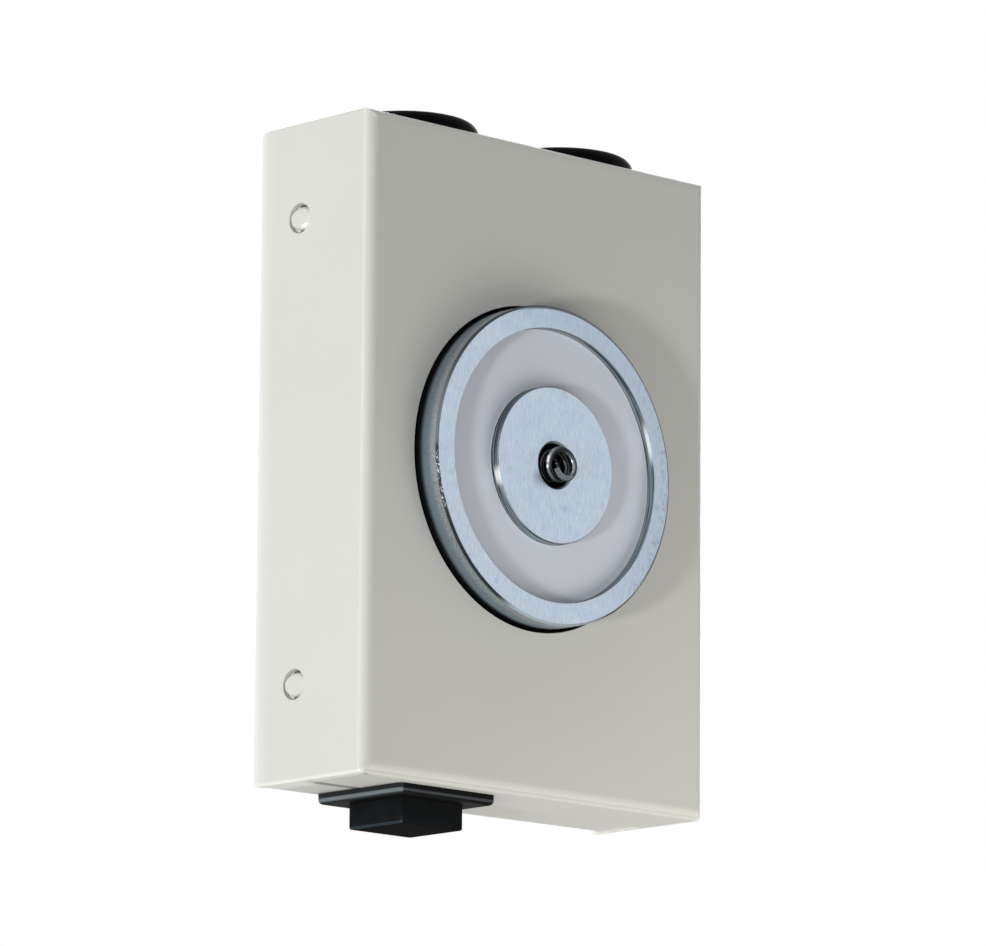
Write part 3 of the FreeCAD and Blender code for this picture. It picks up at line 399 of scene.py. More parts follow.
# Painted shade: a darker line along the middle of the lower front bend.
low_bend = paint.step(-1 * depth, 31.5, 31.8) * paint.step(-1 * height, 67.4, 67.8)
bend_middle_shade = paint.band(height - depth, -37.0, -36.3, -36.3, -35.6) * (1 - side_panel)
cream = paint.tint(low_bend * bend_middle_shade * 0.6, cream, srgb(196, 195, 187))
# A near-white dot on the window's edge, a painted highlight at the lower left front corner, and a
# dark chip near it.
speck = paint.spot((-12.1, -34.0, 32.9), 0.4, 0.75)
corner = paint.spot((-49.4, -32.5, -69.5), 0.05, 0.35)
chip = paint.spot((-47.1, -31.9, -70.0), 0.3, 0.7)
cream = paint.tint(speck * 0.8, cream, srgb(252, 252, 250))
cream = paint.tint(corner, cream, srgb(255, 255, 252))
cream = paint.tint(chip * 0.8, cream, srgb(90, 98, 104))

# %% Seam under the box
low_face = paint.step(-1 * height, 67.6, 68.2) * (1 - side_panel)
# Painted shadow in the seam under the box.
seam_shadow = paint.band(depth, -16.7, -16.3, -14.2, -13.6) * paint.band(across, -46.6, -45.0, -24, -18)
seam_shadow = seam_shadow * low_face
cream = paint.tint(seam_shadow * 0.75, cream, srgb(104, 112, 116))
# Painted highlights on the end of the plate's flange and on the lip by the left slot.
lit_flange_end = low_face * paint.step(depth, -14.6, -13.6) * (1 - paint.step(across, -45.5, -42.5))
lit_slot_lip = paint.band(depth, -32.0, -31.4, -17.5, -16.5) * (1 - paint.step(across, -47.3, -46.7))
lit_slot_lip = lit_slot_lip * low_face
cream = paint.tint(lit_flange_end * 0.85 + lit_slot_lip * 0.7, cream, srgb(250, 250, 246))

# %% Snap bumps in the paint
SNAP_HEIGHT = 49.55
SNAP_MIDDLE = -12.4
SNAP_HOLE_MIDDLE = -12.2
from_snap = abs(abs(height) - SNAP_HEIGHT)
from_hole = depth - SNAP_HOLE_MIDDLE
in_hole = 1 - paint.step(from_snap * from_snap + from_hole * from_hole, 9.4, 10.2)
over_bump = 1 - paint.step(abs(depth - SNAP_MIDDLE), 1.0, 1.8)
outside = paint.step(abs(across), 47.2, 47.6)
# Painted shade in the slits round the snap bumps.
slit_shade = paint.step(from_snap, 2.35, 2.6) * over_bump * in_hole * outside
cream = paint.tint(slit_shade * 0.9, cream, srgb(48, 54, 58))
# A painted highlight on the crown of each snap bump.
snap_bump_highlight = paint.spot((0, -13.7, 47.8), 0.35, 0.7, (0, 0.45, 1)) * outside
cream = paint.tint(snap_bump_highlight, cream, srgb(255, 255, 252))

# %% Skin of the paint
relief = paint.bump(peel - pits * 0.4, 0.008, paint.bump(ripple, 0.05))
paint.wear(Base_Color=cream, Roughness=0.31 + cloud * 0.12 + peel * 0.05, Normal=relief)
dress(paint, "cover", "base_plate")
print("paint nodes", len(paint.nodes))

# %% [markdown]
# ## The plate's lower flange and snap bumps
#
# Behind the seam under the box, the plate's own flange is pressed down until it is nearly
# level with the cover's. The packed plate has it flat, so its mesh is copied, merged and cut
# along two lines across the flange, and what lies behind the second line is moved down. The
# strip between the lines becomes the step. Each snap bump is a stack of round rings, and
# every ring is stretched towards the wall from its front end. Weighted normals then keep
# the large faces flat right up to their bends.

# %% Pressed flange
FLANGE_STEP = 0.78
FLANGE_TILT = math.radians(0.4)
FLANGE_HEIGHT = -69
FLANGE_FOLDS = (-16.0, -15.0)
bpy.ops.object.select_all(action="DESELECT")
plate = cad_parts["base_plate"].copy()
plate.data = plate.data.copy()
plate.name = "pressed_plate"
scene.collection.objects.link(plate)
bpy.context.view_layer.objects.active = plate
plate.select_set(True)
bpy.ops.object.mode_set(mode="EDIT")
bpy.ops.mesh.select_all(action="SELECT")
bpy.ops.mesh.remove_doubles(threshold=MERGE_DISTANCE)
for fold in FLANGE_FOLDS:
    bpy.ops.mesh.select_all(action="SELECT")
    bpy.ops.mesh.bisect(plane_co=(0, fold * MM, 0), plane_no=(0, 1, 0))
bpy.ops.mesh.select_all(action="DESELECT")
bpy.ops.object.mode_set(mode="OBJECT")
for vertex in plate.data.vertices:
    low = vertex.co.z < (FLANGE_HEIGHT + 5) * MM
    vertex.select = low and vertex.co.y > (FLANGE_FOLDS[1] - 0.01) * MM
moved = [vertex.index for vertex in plate.data.vertices if vertex.select]
bpy.ops.object.mode_set(mode="EDIT")
bpy.ops.transform.translate(value=(0, 0, -FLANGE_STEP * MM))
flange_middle = (0, 0, FLANGE_HEIGHT * MM)
bpy.ops.transform.rotate(value=FLANGE_TILT, orient_axis="Y", center_override=flange_middle)
bpy.ops.object.mode_set(mode="OBJECT")
corners = [plate.data.vertices[index].co for index in moved]
lowest = [min(corner.z for corner in corners if corner.x * side > 0) for side in (-1, 1)]
print("moved", len(moved), "vertices, lowest left and right", [round(z / MM, 2) for z in lowest])

# %% Snap bumps
SNAP_SIDE = 48.3
SNAP_FRONT = -15.4
SNAP_REACH = 6.2
ROUND_SNAP_MIDDLE = -12.9
ROUND_SNAP_RADIUS = 2.7
FEWEST_IN_RING = 20


def select_only(mesh, chosen):
    """Leaves just the chosen vertices selected, and opens the mesh for an edit."""
    bpy.ops.object.mode_set(mode="EDIT")
    bpy.ops.mesh.select_all(action="DESELECT")
    bpy.ops.object.mode_set(mode="OBJECT")
    for index in chosen:
        mesh.vertices[index].select = True
    bpy.ops.object.mode_set(mode="EDIT")


for side in (-1, 1):
    for level in (-SNAP_HEIGHT, SNAP_HEIGHT):
        rings = {}
        for vertex in plate.data.vertices:
            x, y, z = (v / MM for v in vertex.co)
            away = math.hypot(y - ROUND_SNAP_MIDDLE, z - level)
            if x * side > SNAP_SIDE - 0.05 and away < ROUND_SNAP_RADIUS:
                rings.setdefault(round(x * side, 2), []).append((y, vertex.index))
        for ring in rings.values():
            if len(ring) > FEWEST_IN_RING:
                stretch = SNAP_REACH / (max(y for y, index in ring) - SNAP_FRONT)
                front_end = (0, SNAP_FRONT * MM, level * MM)
                select_only(plate.data, [index for y, index in ring])
                bpy.ops.transform.resize(value=(1, stretch, 1), center_override=front_end)
                bpy.ops.object.mode_set(mode="OBJECT")
        print("widened", len(rings), "rings of a snap bump")
bpy.ops.object.shade_smooth_by_angle(angle=math.radians(28))
bpy.ops.object.modifier_add(type="WEIGHTED_NORMAL")
plate.modifiers[-1].keep_sharp = True
bpy.ops.object.modifier_apply(modifier=plate.modifiers[-1].name)
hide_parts("base_plate")
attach(plate, "root")

# %% [markdown]
# ## Turning the magnet's steel
#
# The cup and the core are turned from steel, so in Blender they are turned too: a ring is
# pulled along the axis and scaled at every step of the section, as a potter raises a wall.
# A spin of a drawn section would do the same, but the steps can be read here as a list of
# radius and depth. The sharp edges then get a very small bevel, because only a rounded edge
# catches a line of light.

# %% Lathe
MAGNET_X = -1.35
MAGNET_Z = -0.4
MAGNET_FRONT = -40.2
TURNED_SIDES = 160
SMOOTH_ANGLE = 32


def finish_mesh(piece, smooth=SMOOTH_ANGLE):
    """Merges what meets, turns the faces outwards and smooths what is nearly flat."""
    bpy.ops.object.mode_set(mode="EDIT")
    bpy.ops.mesh.select_all(action="SELECT")
    bpy.ops.mesh.remove_doubles(threshold=MERGE_DISTANCE)
    bpy.ops.mesh.normals_make_consistent(inside=False)
    bpy.ops.object.mode_set(mode="OBJECT")
    bpy.ops.object.shade_smooth_by_angle(angle=math.radians(smooth))
    print(piece.name, len(piece.data.vertices), "vertices")


def lathe(name, section, capped=False):
    """A piece turned round the magnet's axis through steps of (radius, depth), in millimetres."""
    bpy.ops.object.select_all(action="DESELECT")
    radius, depth = section[0]
    fill = "NGON" if capped else "NOTHING"
    bpy.ops.mesh.primitive_circle_add(vertices=TURNED_SIDES, radius=radius * MM, fill_type=fill)
    piece = bpy.context.object
    piece.name = name
    bpy.ops.object.mode_set(mode="EDIT")
    bpy.ops.mesh.select_all(action="SELECT")
    bpy.ops.transform.translate(value=(0, 0, -depth * MM))
    following = section[1:] if capped else section[1:] + section[:1]
    for (radius, depth), (next_radius, next_depth) in zip(section, following):
        scale = next_radius / radius
        rise = (0, 0, (depth - next_depth) * MM)
        bpy.ops.mesh.extrude_region_move(TRANSFORM_OT_translate={"value": rise})
        bpy.ops.transform.resize(value=(scale, scale, 1), center_override=(0, 0, 0))
    bpy.ops.object.mode_set(mode="OBJECT")
    piece.rotation_euler = (QUARTER_TURN, 0, 0)
    piece.location = (MAGNET_X * MM, 0, MAGNET_Z * MM)
    bpy.ops.object.transform_apply(location=True, rotation=True)
    finish_mesh(piece)
    return piece


def soften(piece, width):
    """Rounds the sharp edges of a piece a little."""
    bpy.ops.object.modifier_add(type="BEVEL")
    bevel = piece.modifiers[-1]
    bevel.width = width * MM
    bevel.segments = 2
    bevel.limit_method = "ANGLE"
    bevel.angle_limit = math.radians(35)
    bpy.ops.object.modifier_apply(modifier=bevel.name)
    bpy.ops.object.shade_smooth_by_angle(angle=math.radians(SMOOTH_ANGLE))


# %% Cup
CUP_RADIUS = 34.1
CUP_BORE = 29.3
CUP_BACK = -10.5
CUP_FLOOR = -15.5
CUP_CHAMFER = 0.5
SCREW_HOLE = 3.3
WINDOW_RADIUS = 2.5
cup_section = [
    (CUP_RADIUS, CUP_BACK - CUP_CHAMFER), (CUP_RADIUS, MAGNET_FRONT + CUP_CHAMFER),
    (CUP_RADIUS - CUP_CHAMFER, MAGNET_FRONT), (CUP_BORE, MAGNET_FRONT),
    (CUP_BORE, CUP_FLOOR), (SCREW_HOLE, CUP_FLOOR),
    (SCREW_HOLE, CUP_BACK), (CUP_RADIUS - CUP_CHAMFER, CUP_BACK),
]
cup = lathe("cup", cup_section)
window = (MAGNET_X + 20, -13, MAGNET_Z + 14)
bpy.ops.object.select_all(action="DESELECT")
bpy.ops.mesh.primitive_cylinder_add(
    vertices=48, radius=WINDOW_RADIUS * MM, depth=12 * MM,
    location=[v * MM for v in window], rotation=(QUARTER_TURN, 0, 0),
)
drill = bpy.context.object
bpy.context.view_layer.objects.active = cup
bpy.ops.object.modifier_add(type="BOOLEAN")
cup.modifiers[-1].object = drill
cup.modifiers[-1].operation = "DIFFERENCE"
bpy.ops.object.modifier_apply(modifier=cup.modifiers[-1].name)
bpy.data.objects.remove(drill)
soften(cup, 0.1)
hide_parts("magnet_cup")
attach(cup, "root")

# %% Core
CORE_RADIUS = 16.75
TAPPED_HOLE = 3.05
SPRING_BORE = 4.7
SPRING_SEAT = -28.2
core_section = [
    (TAPPED_HOLE, -24.0), (TAPPED_HOLE, CUP_FLOOR), (CORE_RADIUS, CUP_FLOOR),
    (CORE_RADIUS, MAGNET_FRONT + 0.3), (CORE_RADIUS - 0.25, MAGNET_FRONT),
    (SPRING_BORE + 0.5, MAGNET_FRONT), (SPRING_BORE, MAGNET_FRONT + 0.5),
    (SPRING_BORE, SPRING_SEAT),
]
core = lathe("core", core_section, capped=True)
soften(core, 0.08)
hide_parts("magnet_core")
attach(core, "root")

# %% [markdown]
# ## Resin between the poles
#
# The coil is sealed with a poured resin. While it was liquid it crept a little way up both
# steel walls, so its face is a shallow trough and not a flat ring. The section below has
# that creep at both ends, and the thin skirt that fills the gap round the coil.

# %% Resin
resin_section = [
    (16.8, -38.05), (16.92, -37.97), (17.2, -37.92), (17.9, -37.9), (22.0, -37.89), (28.1, -37.9),
    (28.8, -37.92), (29.1, -37.97), (29.25, -38.05), (29.25, -15.5), (29.14, -15.5), (29.14, -16.7),
    (27.85, -16.7), (27.85, -35.5), (29.14, -35.5), (29.14, -36.8), (16.8, -36.8),
]
resin = lathe("resin", resin_section)
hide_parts("potting_resin")
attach(resin, "root")

# %% [markdown]
# ## Two wound springs
#
# A spring is a wire ring drawn along a screw line. The ring is extruded in short steps, and
# after each one it is turned a little round the axis and lifted, which is how a coiling
# machine feeds its wire. Both ends are then cut off flat, as they are ground on the real
# spring. The one in the core is wound left-handed; its tip points at eight o'clock.

# %% Springs
STEPS_IN_TURN = 24


def wound_spring(name, diameter, wire, length, pitch, turn, sides=14):
    """A ground wire spring that rises along Z from 0; turn is -1 for a left-hand one."""
    radius = (diameter - wire) / 2
    count = round(length / pitch * STEPS_IN_TURN)
    lift = length / count
    bpy.ops.object.select_all(action="DESELECT")
    bpy.ops.mesh.primitive_circle_add(vertices=sides, radius=wire / 2 * MM, fill_type="NGON")
    piece = bpy.context.object
    piece.name = name
    lean = math.atan2(pitch, 2 * math.pi * radius)
    piece.rotation_euler = (QUARTER_TURN - lean * turn, 0, 0)
    piece.location = (radius * MM, 0, 0)
    bpy.ops.object.transform_apply(location=True, rotation=True)
    step = turn * 2 * math.pi / STEPS_IN_TURN
    bpy.ops.object.mode_set(mode="EDIT")
    bpy.ops.mesh.select_all(action="SELECT")
    for _ in range(count):
        bpy.ops.mesh.extrude_region_move(TRANSFORM_OT_translate={"value": (0, 0, lift * MM)})
        bpy.ops.transform.rotate(value=-step, orient_axis="Z", center_override=(0, 0, 0))
    for height, lower in ((0.0, True), (length, False)):
        bpy.ops.mesh.select_all(action="SELECT")
        bpy.ops.mesh.bisect(
            plane_co=(0, 0, height * MM), plane_no=(0, 0, 1),
            use_fill=True, clear_inner=lower, clear_outer=not lower,
        )
    bpy.ops.object.mode_set(mode="OBJECT")
    top = (length - 0.01) * MM
    flat = [face for face in piece.data.polygons if abs(face.normal.z) > 0.99]
    ends = [face for face in flat if face.center.z > top]
    for face in ends:
        face.material_index = 1
    print(name, count, "steps,", len(ends), "faces on the ground end")
    return piece, math.degrees(step) * count


def place_spring(piece, rotation, location):
    """Turns and moves a spring to its place, with its place in its mesh."""
    piece.rotation_euler = rotation
    piece.location = [v * MM for v in location]
    bpy.ops.object.transform_apply(location=True, rotation=True)
    finish_mesh(piece, 50)


# %% Spring in the core
EJECTOR_DIAMETER = 7.7
EJECTOR_WIRE = 1.4
EJECTOR_LENGTH = 15.2
EJECTOR_PITCH = 2.35
EJECTOR_TIP = 206
ejector, wound = wound_spring(
    "ejector", EJECTOR_DIAMETER, EJECTOR_WIRE, EJECTOR_LENGTH, EJECTOR_PITCH, -1
)
place_spring(ejector, (0, 0, math.radians(EJECTOR_TIP - wound)), (0, 0, 0))
place_spring(ejector, (QUARTER_TURN, 0, 0), (MAGNET_X, SPRING_SEAT, MAGNET_Z))
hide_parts("ejector_spring")
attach(ejector, "root")
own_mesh(ejector)

# %% Spring in the button
returner, _ = wound_spring("button_return", 9.6, 0.8, 8.6, 2.4, 1, sides=10)
place_spring(returner, (0, 0, 0), (-20.8, -15.8, -66.1))
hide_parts("button_spring")
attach(returner, "root")
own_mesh(returner)

# %% [markdown]
# ## Zinc on steel
#
# One finish covers the cup and the core, and it asks where a point is. The front faces were
# ground flat, so they carry fine upright lines under a cloudy, bluish zinc, with painted
# shade on the right and top of the ring. The turned walls are duller. The outer one has
# painted shade, bluish and then nearly black, towards the box. The chamfer is painted dark,
# as shade, paler from half height and pale at its foot, and its few nicks are painted as
# bright glints. The walls that face each other have painted glints, painted shade at the
# top of the core's wall and painted shade down in the spring's well. On the right-hand side
# of the rim a little rust shows through.

# %% Zinc
zinc = Finish("bright_zinc")
radius = zinc.radius(MAGNET_X, MAGNET_Z)
across = zinc.axis("X")
depth = zinc.axis("Y")
height = zinc.axis("Z")
lines = zinc.step(zinc.noise(1.0, 4.0, 0.66, zinc.stretched(6.5, 1.0, 0.5)), 0.25, 0.75)
mottle = zinc.step(zinc.noise(0.38, 6.0, 0.74), 0.3, 0.7)
stain = zinc.step(zinc.noise(0.3, 4.0, 0.65), 0.58, 0.72)
fleck = zinc.step(zinc.noise(2.4, 2.0), 0.66, 0.74)
face = zinc.tint(mottle * 0.26 + lines * 0.74, srgb(169, 187, 208), srgb(216, 229, 242))
face = zinc.tint(stain * 0.3, face, srgb(146, 162, 182))
face = zinc.tint(fleck * 0.22, face, srgb(112, 122, 134))
ring_shade = zinc.step(radius, 28.9, 29.4) * zinc.step(across + height * 0.5, -12, 22)
face = zinc.tint(ring_shade * 0.3, face, srgb(140, 156, 174))

rust_side = zinc.step(across, 14, 30) * zinc.band(radius, 30.6, 31.8, 33.3, 33.6)
rust_noise = zinc.noise(1.0, 4.0, 0.75, zinc.stretched(1.7, 1.0, 0.8))
rust = rust_side * zinc.step(rust_noise, 0.52, 0.66)
face = zinc.tint(rust * 0.6, face, srgb(146, 122, 114))

# %% Zinc walls
behind_face = zinc.step(depth, MAGNET_FRONT + 0.03, MAGNET_FRONT + 0.12)
outer = zinc.step(radius, 33.4, 33.55) * behind_face
chamfer = outer * (1 - zinc.step(depth, MAGNET_FRONT + 0.55, MAGNET_FRONT + 0.8))
turned = zinc.noise(1.0, 3.0, 0.55, zinc.stretched(0.5, 6.0, 0.5))
grit = zinc.step(zinc.noise(3.6, 2.0, 0.6), 0.6, 0.72)
wall = zinc.tint(turned, srgb(148, 158, 162), srgb(178, 187, 191))
specks = zinc.step(zinc.noise(3.0, 2.0, 0.6), 0.52, 0.64)
wall = zinc.tint(specks * 0.5, wall, srgb(76, 84, 88))
wall = zinc.tint(grit * 0.65, wall, srgb(226, 232, 234))
# Painted shade on the outer wall: bluish, then nearly black towards the box.
wall = zinc.tint(zinc.step(depth, -38.6, -37.0) * 0.6, wall, srgb(104, 130, 146))
wall = zinc.tint(zinc.step(depth, -36.2, -34.6), wall, srgb(20, 23, 25))
# Nicks on the chamfer, painted as bright glints.
nick_glints = zinc.step(zinc.noise(2.4, 3.0, 0.7), 0.53, 0.62) * zinc.step(-1 * across, 32.0, 33.5)
nick_glints = nick_glints * zinc.band(height, -17, -12, -4, -1)
# The chamfer's colour is painted light and shade: dark below half height, paler above it, darker
# again higher up, and pale at its foot.
foot = zinc.step(-1 * height, 30.0, 32.5)
chamfer_light_and_shade = zinc.tint(zinc.step(height, -1.5, 1.0), srgb(46, 54, 58), srgb(112, 120, 122))
chamfer_light_and_shade = zinc.tint(zinc.step(height, 8, 22), chamfer_light_and_shade, srgb(62, 68, 70))
chamfer_light_and_shade = zinc.tint(foot * 0.85, chamfer_light_and_shade, srgb(186, 198, 206))
chamfer_light_and_shade = zinc.tint(nick_glints, chamfer_light_and_shade, srgb(230, 234, 235))

# %% Walls that face each other
inner_wall = behind_face * zinc.band(radius, 28.9, 29.1, 29.5, 29.7)
core_wall = behind_face * zinc.band(radius, 16.3, 16.5, 17.0, 17.2)
bore = 1 - zinc.step(radius, 5.22, 5.3)
# Painted shade down in the spring's well.
well_shade = bore * zinc.step(depth, MAGNET_FRONT + 0.42, MAGNET_FRONT + 0.55)
hoops = zinc.noise(1.0, 2.0, 0.5, zinc.stretched(0.06, 2.6, 0.06))
dull = zinc.tint(zinc.step(hoops, 0.4, 0.62), srgb(62, 74, 77), srgb(160, 172, 177))
glint = zinc.band(height, 2.5, 7, 9, 16) * zinc.step(across, 24, 26)
glint = glint * (1 - zinc.step(depth, -39.3, -38.8))
inner_shade = zinc.tint(glint, dull, srgb(252, 253, 252))
# Painted highlight on the core's left wall.
spot = zinc.band(height, -8.4, -5.8, -4.2, -2.0) * zinc.step(-1 * across, 16.5, 17.5)
spot = spot * (1 - zinc.step(depth, -39.0, -38.5))
core_shade = zinc.tint(zinc.step(height, 1, 9) * 0.6, dull, srgb(46, 56, 60))
core_shade = zinc.tint(spot, core_shade, srgb(250, 251, 250))

# %% Zinc put together
rim_line = zinc.step(radius, 33.25, 33.4) * zinc.step(across, -14, -6) * zinc.step(height, -27, -18)
face = zinc.tint(rim_line * 0.8, face, srgb(66, 76, 82))
colour = zinc.tint(outer, face, wall)
colour = zinc.tint(chamfer, colour, chamfer_light_and_shade)
colour = zinc.tint(inner_wall, colour, inner_shade)
colour = zinc.tint(core_wall, colour, core_shade)
colour = zinc.tint(bore * behind_face, colour, srgb(136, 150, 156))
colour = zinc.tint(well_shade, colour, srgb(34, 38, 40))
gloss = 0.3 + mottle * 0.1 + outer * 0.12 + rust * 0.3
relief = zinc.bump(lines * 0.7 + turned * outer, 0.006, zinc.bump(mottle, 0.01))
bright_spots = glint * inner_wall + spot * core_wall
zinc.wear(Base_Color=colour, Metallic=0.72 - bright_spots * 0.6, Roughness=gloss, Normal=relief)
for piece in (cup, core):
    piece.data.materials.append(zinc.material)
print("zinc nodes", len(zinc.nodes))

# %% [markdown]
# ## Resin, spring wire and rubber
#
# The resin is a pale, slightly lilac grey that is matt and full of very fine pores, with
# painted shade where it meets the steel walls. The spring is oiled, nearly black steel, with
# painted light on the side of the wire that faces left, a painted streak of light, and
# painted shade down in the core's well. The rubber is deep black with a dusty bloom.

# %% Resin finish
lilac = Finish("poured_resin", Roughness=0.5, Specular_IOR_Level=0.35)
swirl = lilac.noise(0.06, 3.0, 0.5)
pores = lilac.step(lilac.noise(2.6, 1.0), 0.7, 0.78)
shade = lilac.tint(swirl, srgb(229, 234, 246), srgb(236, 241, 252))
shade = lilac.tint(pores * 0.12, shade, srgb(170, 172, 182))
edge_of = lilac.radius(MAGNET_X, MAGNET_Z)
# Painted shade where the resin meets the steel walls.
resin_wall_shade = lilac.step(edge_of, 28.3, 29.2) + (1 - lilac.step(edge_of, 16.9, 17.6))
shade = lilac.tint(resin_wall_shade * 0.3, shade, srgb(186, 190, 198))
lilac.wear(Base_Color=shade, Normal=lilac.bump(lilac.noise(1.4, 3.0) - pores, 0.012))
resin.data.materials.append(lilac.material)

# %% Spring wire
wire = Finish("oiled_spring_wire", Metallic=1.0)
drawn = wire.noise(1.6, 3.0, 0.6)
from_axis = wire.radius(MAGNET_X, MAGNET_Z)
offset = MAGNET_X - wire.axis("X")
coil_radius = (EJECTOR_DIAMETER - EJECTOR_WIRE) / 2
leftward = offset * (from_axis - coil_radius) / (from_axis * (EJECTOR_WIRE / 2))
# Painted light on the side of the wire that faces left, and a painted streak of light on it.
lit_left_side = wire.step(leftward, 0.0, 0.8) * (0.7 + drawn * 0.5)
streak_highlight = wire.step(leftward, 0.45, 0.7) * wire.step(offset, 2.6, 3.2)
streak_highlight = streak_highlight * (1 - wire.step(abs(wire.axis("Z") - 0.4), 0.3, 1.1))
# Painted shade down in the core's well.
well_shade_mask = wire.step(wire.axis("Y"), -41.7, -40.2)
steel = wire.tint(lit_left_side, srgb(44, 50, 53), srgb(148, 157, 161))
steel = wire.tint(well_shade_mask * 0.8, steel, srgb(22, 25, 27))
steel = wire.tint(streak_highlight * (1 - well_shade_mask), steel, srgb(240, 243, 243))
wire.wear(Base_Color=steel, Roughness=0.2 + drawn * 0.14, Normal=wire.bump(drawn, 0.01))

ground = Finish("ground_wire_end", Metallic=1.0)
scratches = ground.noise(3.0, 3.0, 0.6)
ground.wear(
    Base_Color=ground.tint(scratches, srgb(84, 93, 96), srgb(132, 141, 144)),
    Roughness=0.34 + scratches * 0.2,
    Normal=ground.bump(scratches, 0.01),
)
for piece in (ejector, returner):
    piece.data.materials.append(wire.material)
    piece.data.materials.append(ground.material)

# %% Rubber
rubber = Finish("black_rubber", Specular_IOR_Level=0.03)
bloom = rubber.step(rubber.noise(0.18, 4.0, 0.6), 0.5, 0.8)
grain = rubber.noise(2.2, 3.0, 0.6)
rubber.wear(
    Base_Color=rubber.tint(bloom, srgb(6, 7, 8), srgb(14, 15, 16)),
    Roughness=0.5 + bloom * 0.18,
    Normal=rubber.bump(grain, 0.03),
)
dress(rubber, "cable_grommet_left", "cable_grommet_right")

# %% [markdown]
# ## Black plastic of the release button
#
# The bezel and the button are moulded in a die with a spark-eroded skin, which is an even,
# very fine grain. The bezel has painted light on its left face and painted highlights along
# its lower left and front rims. The button's low face is painted darker, as shade, and its
# low left edge and front left corner carry painted highlights.

# %% Black plastic
plastic = Finish("black_plastic", Specular_IOR_Level=0.05)
spark = plastic.noise(3.2, 2.0, 0.7)
worn = plastic.noise(0.2, 3.0)
left = plastic.axis("X") * -1
low = plastic.axis("Z") * -1
black = plastic.tint(worn, srgb(12, 13, 14), srgb(20, 21, 22))
# Painted light on the bezel's left face.
outer_left = plastic.step(left, 33.2, 33.8)
black = plastic.tint(outer_left * plastic.step(low, 69.6, 70.0), black, srgb(40, 44, 46))
# Painted highlight along the bezel's lower left rim.
left_rim_highlight = plastic.band(low, 70.9, 71.2, 71.6, 72.0)
black = plastic.tint(outer_left * left_rim_highlight * (0.85 + spark * 0.15), black, srgb(124, 132, 137))
front = plastic.axis("Y") * -1
# Painted highlight along the bezel's front rim.
front_rim_highlight = plastic.step(front, 28.7, 28.9) * plastic.band(low, 71.0, 71.2, 71.5, 71.8)
black = plastic.tint(front_rim_highlight, black, srgb(70, 74, 78))
plastic.wear(Base_Color=black, Roughness=0.42 + spark * 0.14, Normal=plastic.bump(spark, 0.02))
dress(plastic, "button_housing", "switch_end_cap", "lead_sleeves")

# %% Black button
button = Finish("button_plastic", Specular_IOR_Level=0.005)
grain = button.noise(3.0, 2.0, 0.7)
touched = button.noise(0.25, 3.0)
left = button.axis("X") * -1
front = button.axis("Y") * -1
low = button.axis("Z") * -1
dark = button.tint(touched, srgb(19, 20, 21), srgb(34, 36, 38))
# Painted shade: the button's low face is darker.
shaded_low_face = button.step(low, 77.3, 77.45)
dark = button.tint(shaded_low_face * 0.7, dark, srgb(6, 7, 7))
# Painted highlights on the low left edge and the front left corner.
low_edge_highlight = button.step(left, 28.9, 29.3) * button.step(low, 76.85, 77.15)
corner_highlight_line = button.step(left, 29.0, 29.4) * button.step(front, 23.45, 23.8)
corner_highlight_line = corner_highlight_line * button.step(low, 75.6, 76.8)
dark = button.tint(low_edge_highlight * 0.55 + corner_highlight_line * 0.3, dark, srgb(64, 78, 84))
button.wear(Base_Color=dark, Roughness=0.5 + grain * 0.16, Normal=button.bump(grain, 0.02))
dress(button, "button_cap")

# %% [markdown]
# ## The pieces inside
#
# Nothing inside shows in the closed box, but a part that is taken apart or cut open should
# still look like itself, so every piece gets the finish of its material.

# %% Steel fixings
fixing = Finish("zinc_fixings", Metallic=1.0)
spangle = fixing.node("TexVoronoi", {}, {"Vector": fixing.place, "Scale": 0.5}, "Distance")
haze = fixing.noise(0.6, 4.0)
fixing.wear(
    Base_Color=fixing.tint(spangle * 0.6 + haze * 0.4, srgb(170, 172, 172), srgb(205, 206, 204)),
    Roughness=0.3 + haze * 0.2,
    Normal=fixing.bump(haze, 0.02),
)
dress(fixing, "magnet_bracket", "bracket_studs", "bracket_nuts", "magnet_screw", "spring_washer")
dress(fixing, "terminal_screws", "terminal_fixing_screws")

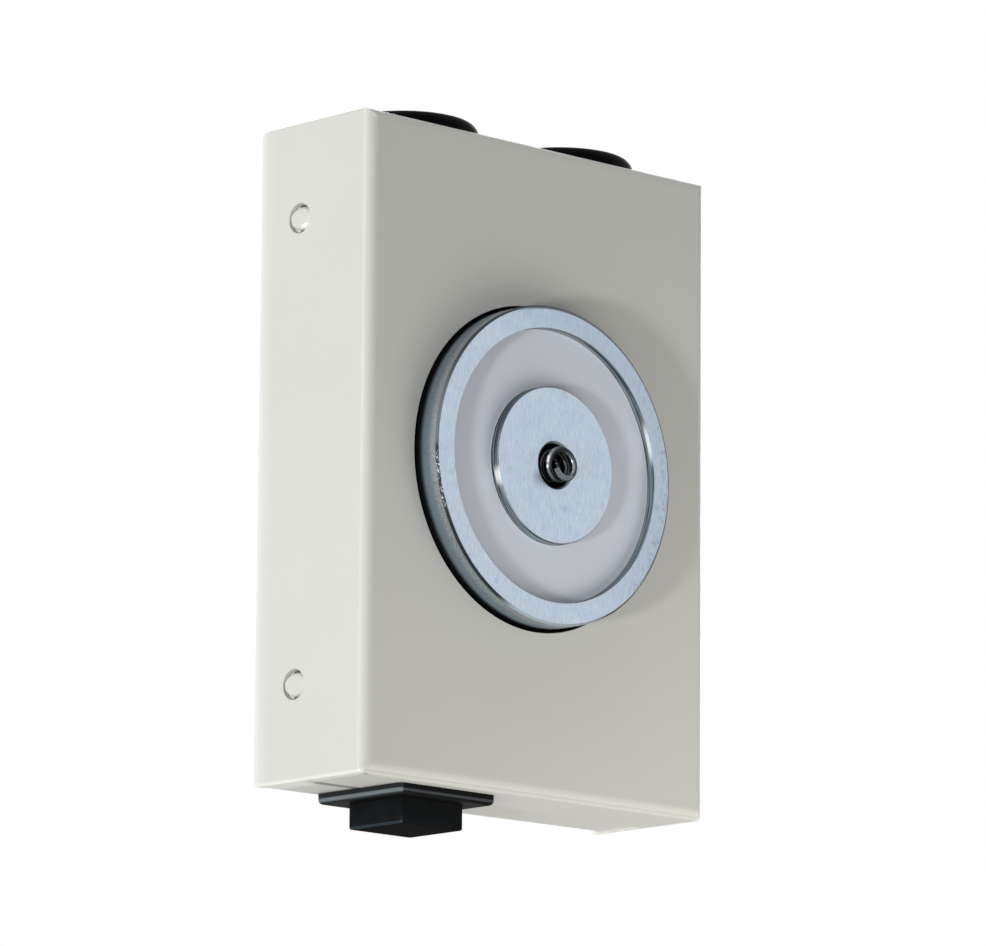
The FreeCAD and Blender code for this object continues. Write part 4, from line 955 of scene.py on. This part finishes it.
# %% Brass and silver contacts
brass = Finish("contact_brass", Metallic=1.0)
tarnish = brass.noise(0.5, 4.0, 0.6)
brass.wear(
    Base_Color=brass.tint(tarnish, srgb(176, 150, 96), srgb(214, 190, 132)),
    Roughness=0.28 + tarnish * 0.2,
    Normal=brass.bump(tarnish, 0.01),
)
dress(brass, "contact_bridge", "switch_terminal_left", "switch_terminal_right", "terminal_clamps")

# %% Moulded block, spool and clip


def moulded(name, first, second, *nodes):
    """A matt moulded plastic with faint flow marks."""
    made = Finish(name, Specular_IOR_Level=0.4)
    flow = made.noise(0.25, 3.0, 0.5, made.stretched(1.0, 1.0, 0.4))
    skin = made.noise(2.8, 2.0)
    made.wear(
        Base_Color=made.tint(flow, first, second),
        Roughness=0.42 + flow * 0.15,
        Normal=made.bump(skin, 0.012),
    )
    dress(made, *nodes)


moulded("block_plastic", srgb(222, 221, 214), srgb(233, 232, 226), "terminal_block", "lead_clip")
moulded("spool_plastic", srgb(196, 190, 172), srgb(212, 206, 190), "coil_bobbin")
first_leads = ("coil_lead_first", "switch_lead_first")
moulded("red_insulation", srgb(150, 24, 22), srgb(172, 34, 28), *first_leads)
second_leads = ("coil_lead_second", "switch_lead_second")
moulded("black_insulation", srgb(20, 20, 22), srgb(32, 32, 34), *second_leads)

# %% Winding and diode
copper = Finish("enamelled_copper", Metallic=0.75)
turns = copper.node("Math", {"operation": "SINE"}, {0: copper.axis("Y") * 14.0}, "Value")
varnish = copper.noise(0.4, 3.0)
copper.wear(
    Base_Color=copper.tint(varnish * 0.7 + turns * 0.15, srgb(122, 58, 30), srgb(186, 104, 60)),
    Roughness=0.26 + varnish * 0.2,
    Normal=copper.bump(turns, 0.05),
)
dress(copper, "coil_winding")

diode = Finish("diode_body", Roughness=0.4)
cathode = diode.band(diode.axis("X"), 1.0, 1.1, 1.9, 2.0)
speck = diode.noise(1.5, 3.0)
body = diode.tint(speck, srgb(24, 24, 25), srgb(36, 36, 38))
diode.wear(
    Base_Color=diode.tint(cathode, body, srgb(196, 196, 194)),
    Normal=diode.bump(speck, 0.01),
)
dress(diode, "suppressor_diode")
print("dressed nodes", sum(1 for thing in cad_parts.values() if thing.data.materials))

# %% [markdown]
# ## The size
#
# The dressed part has to fill the same box as the construction.
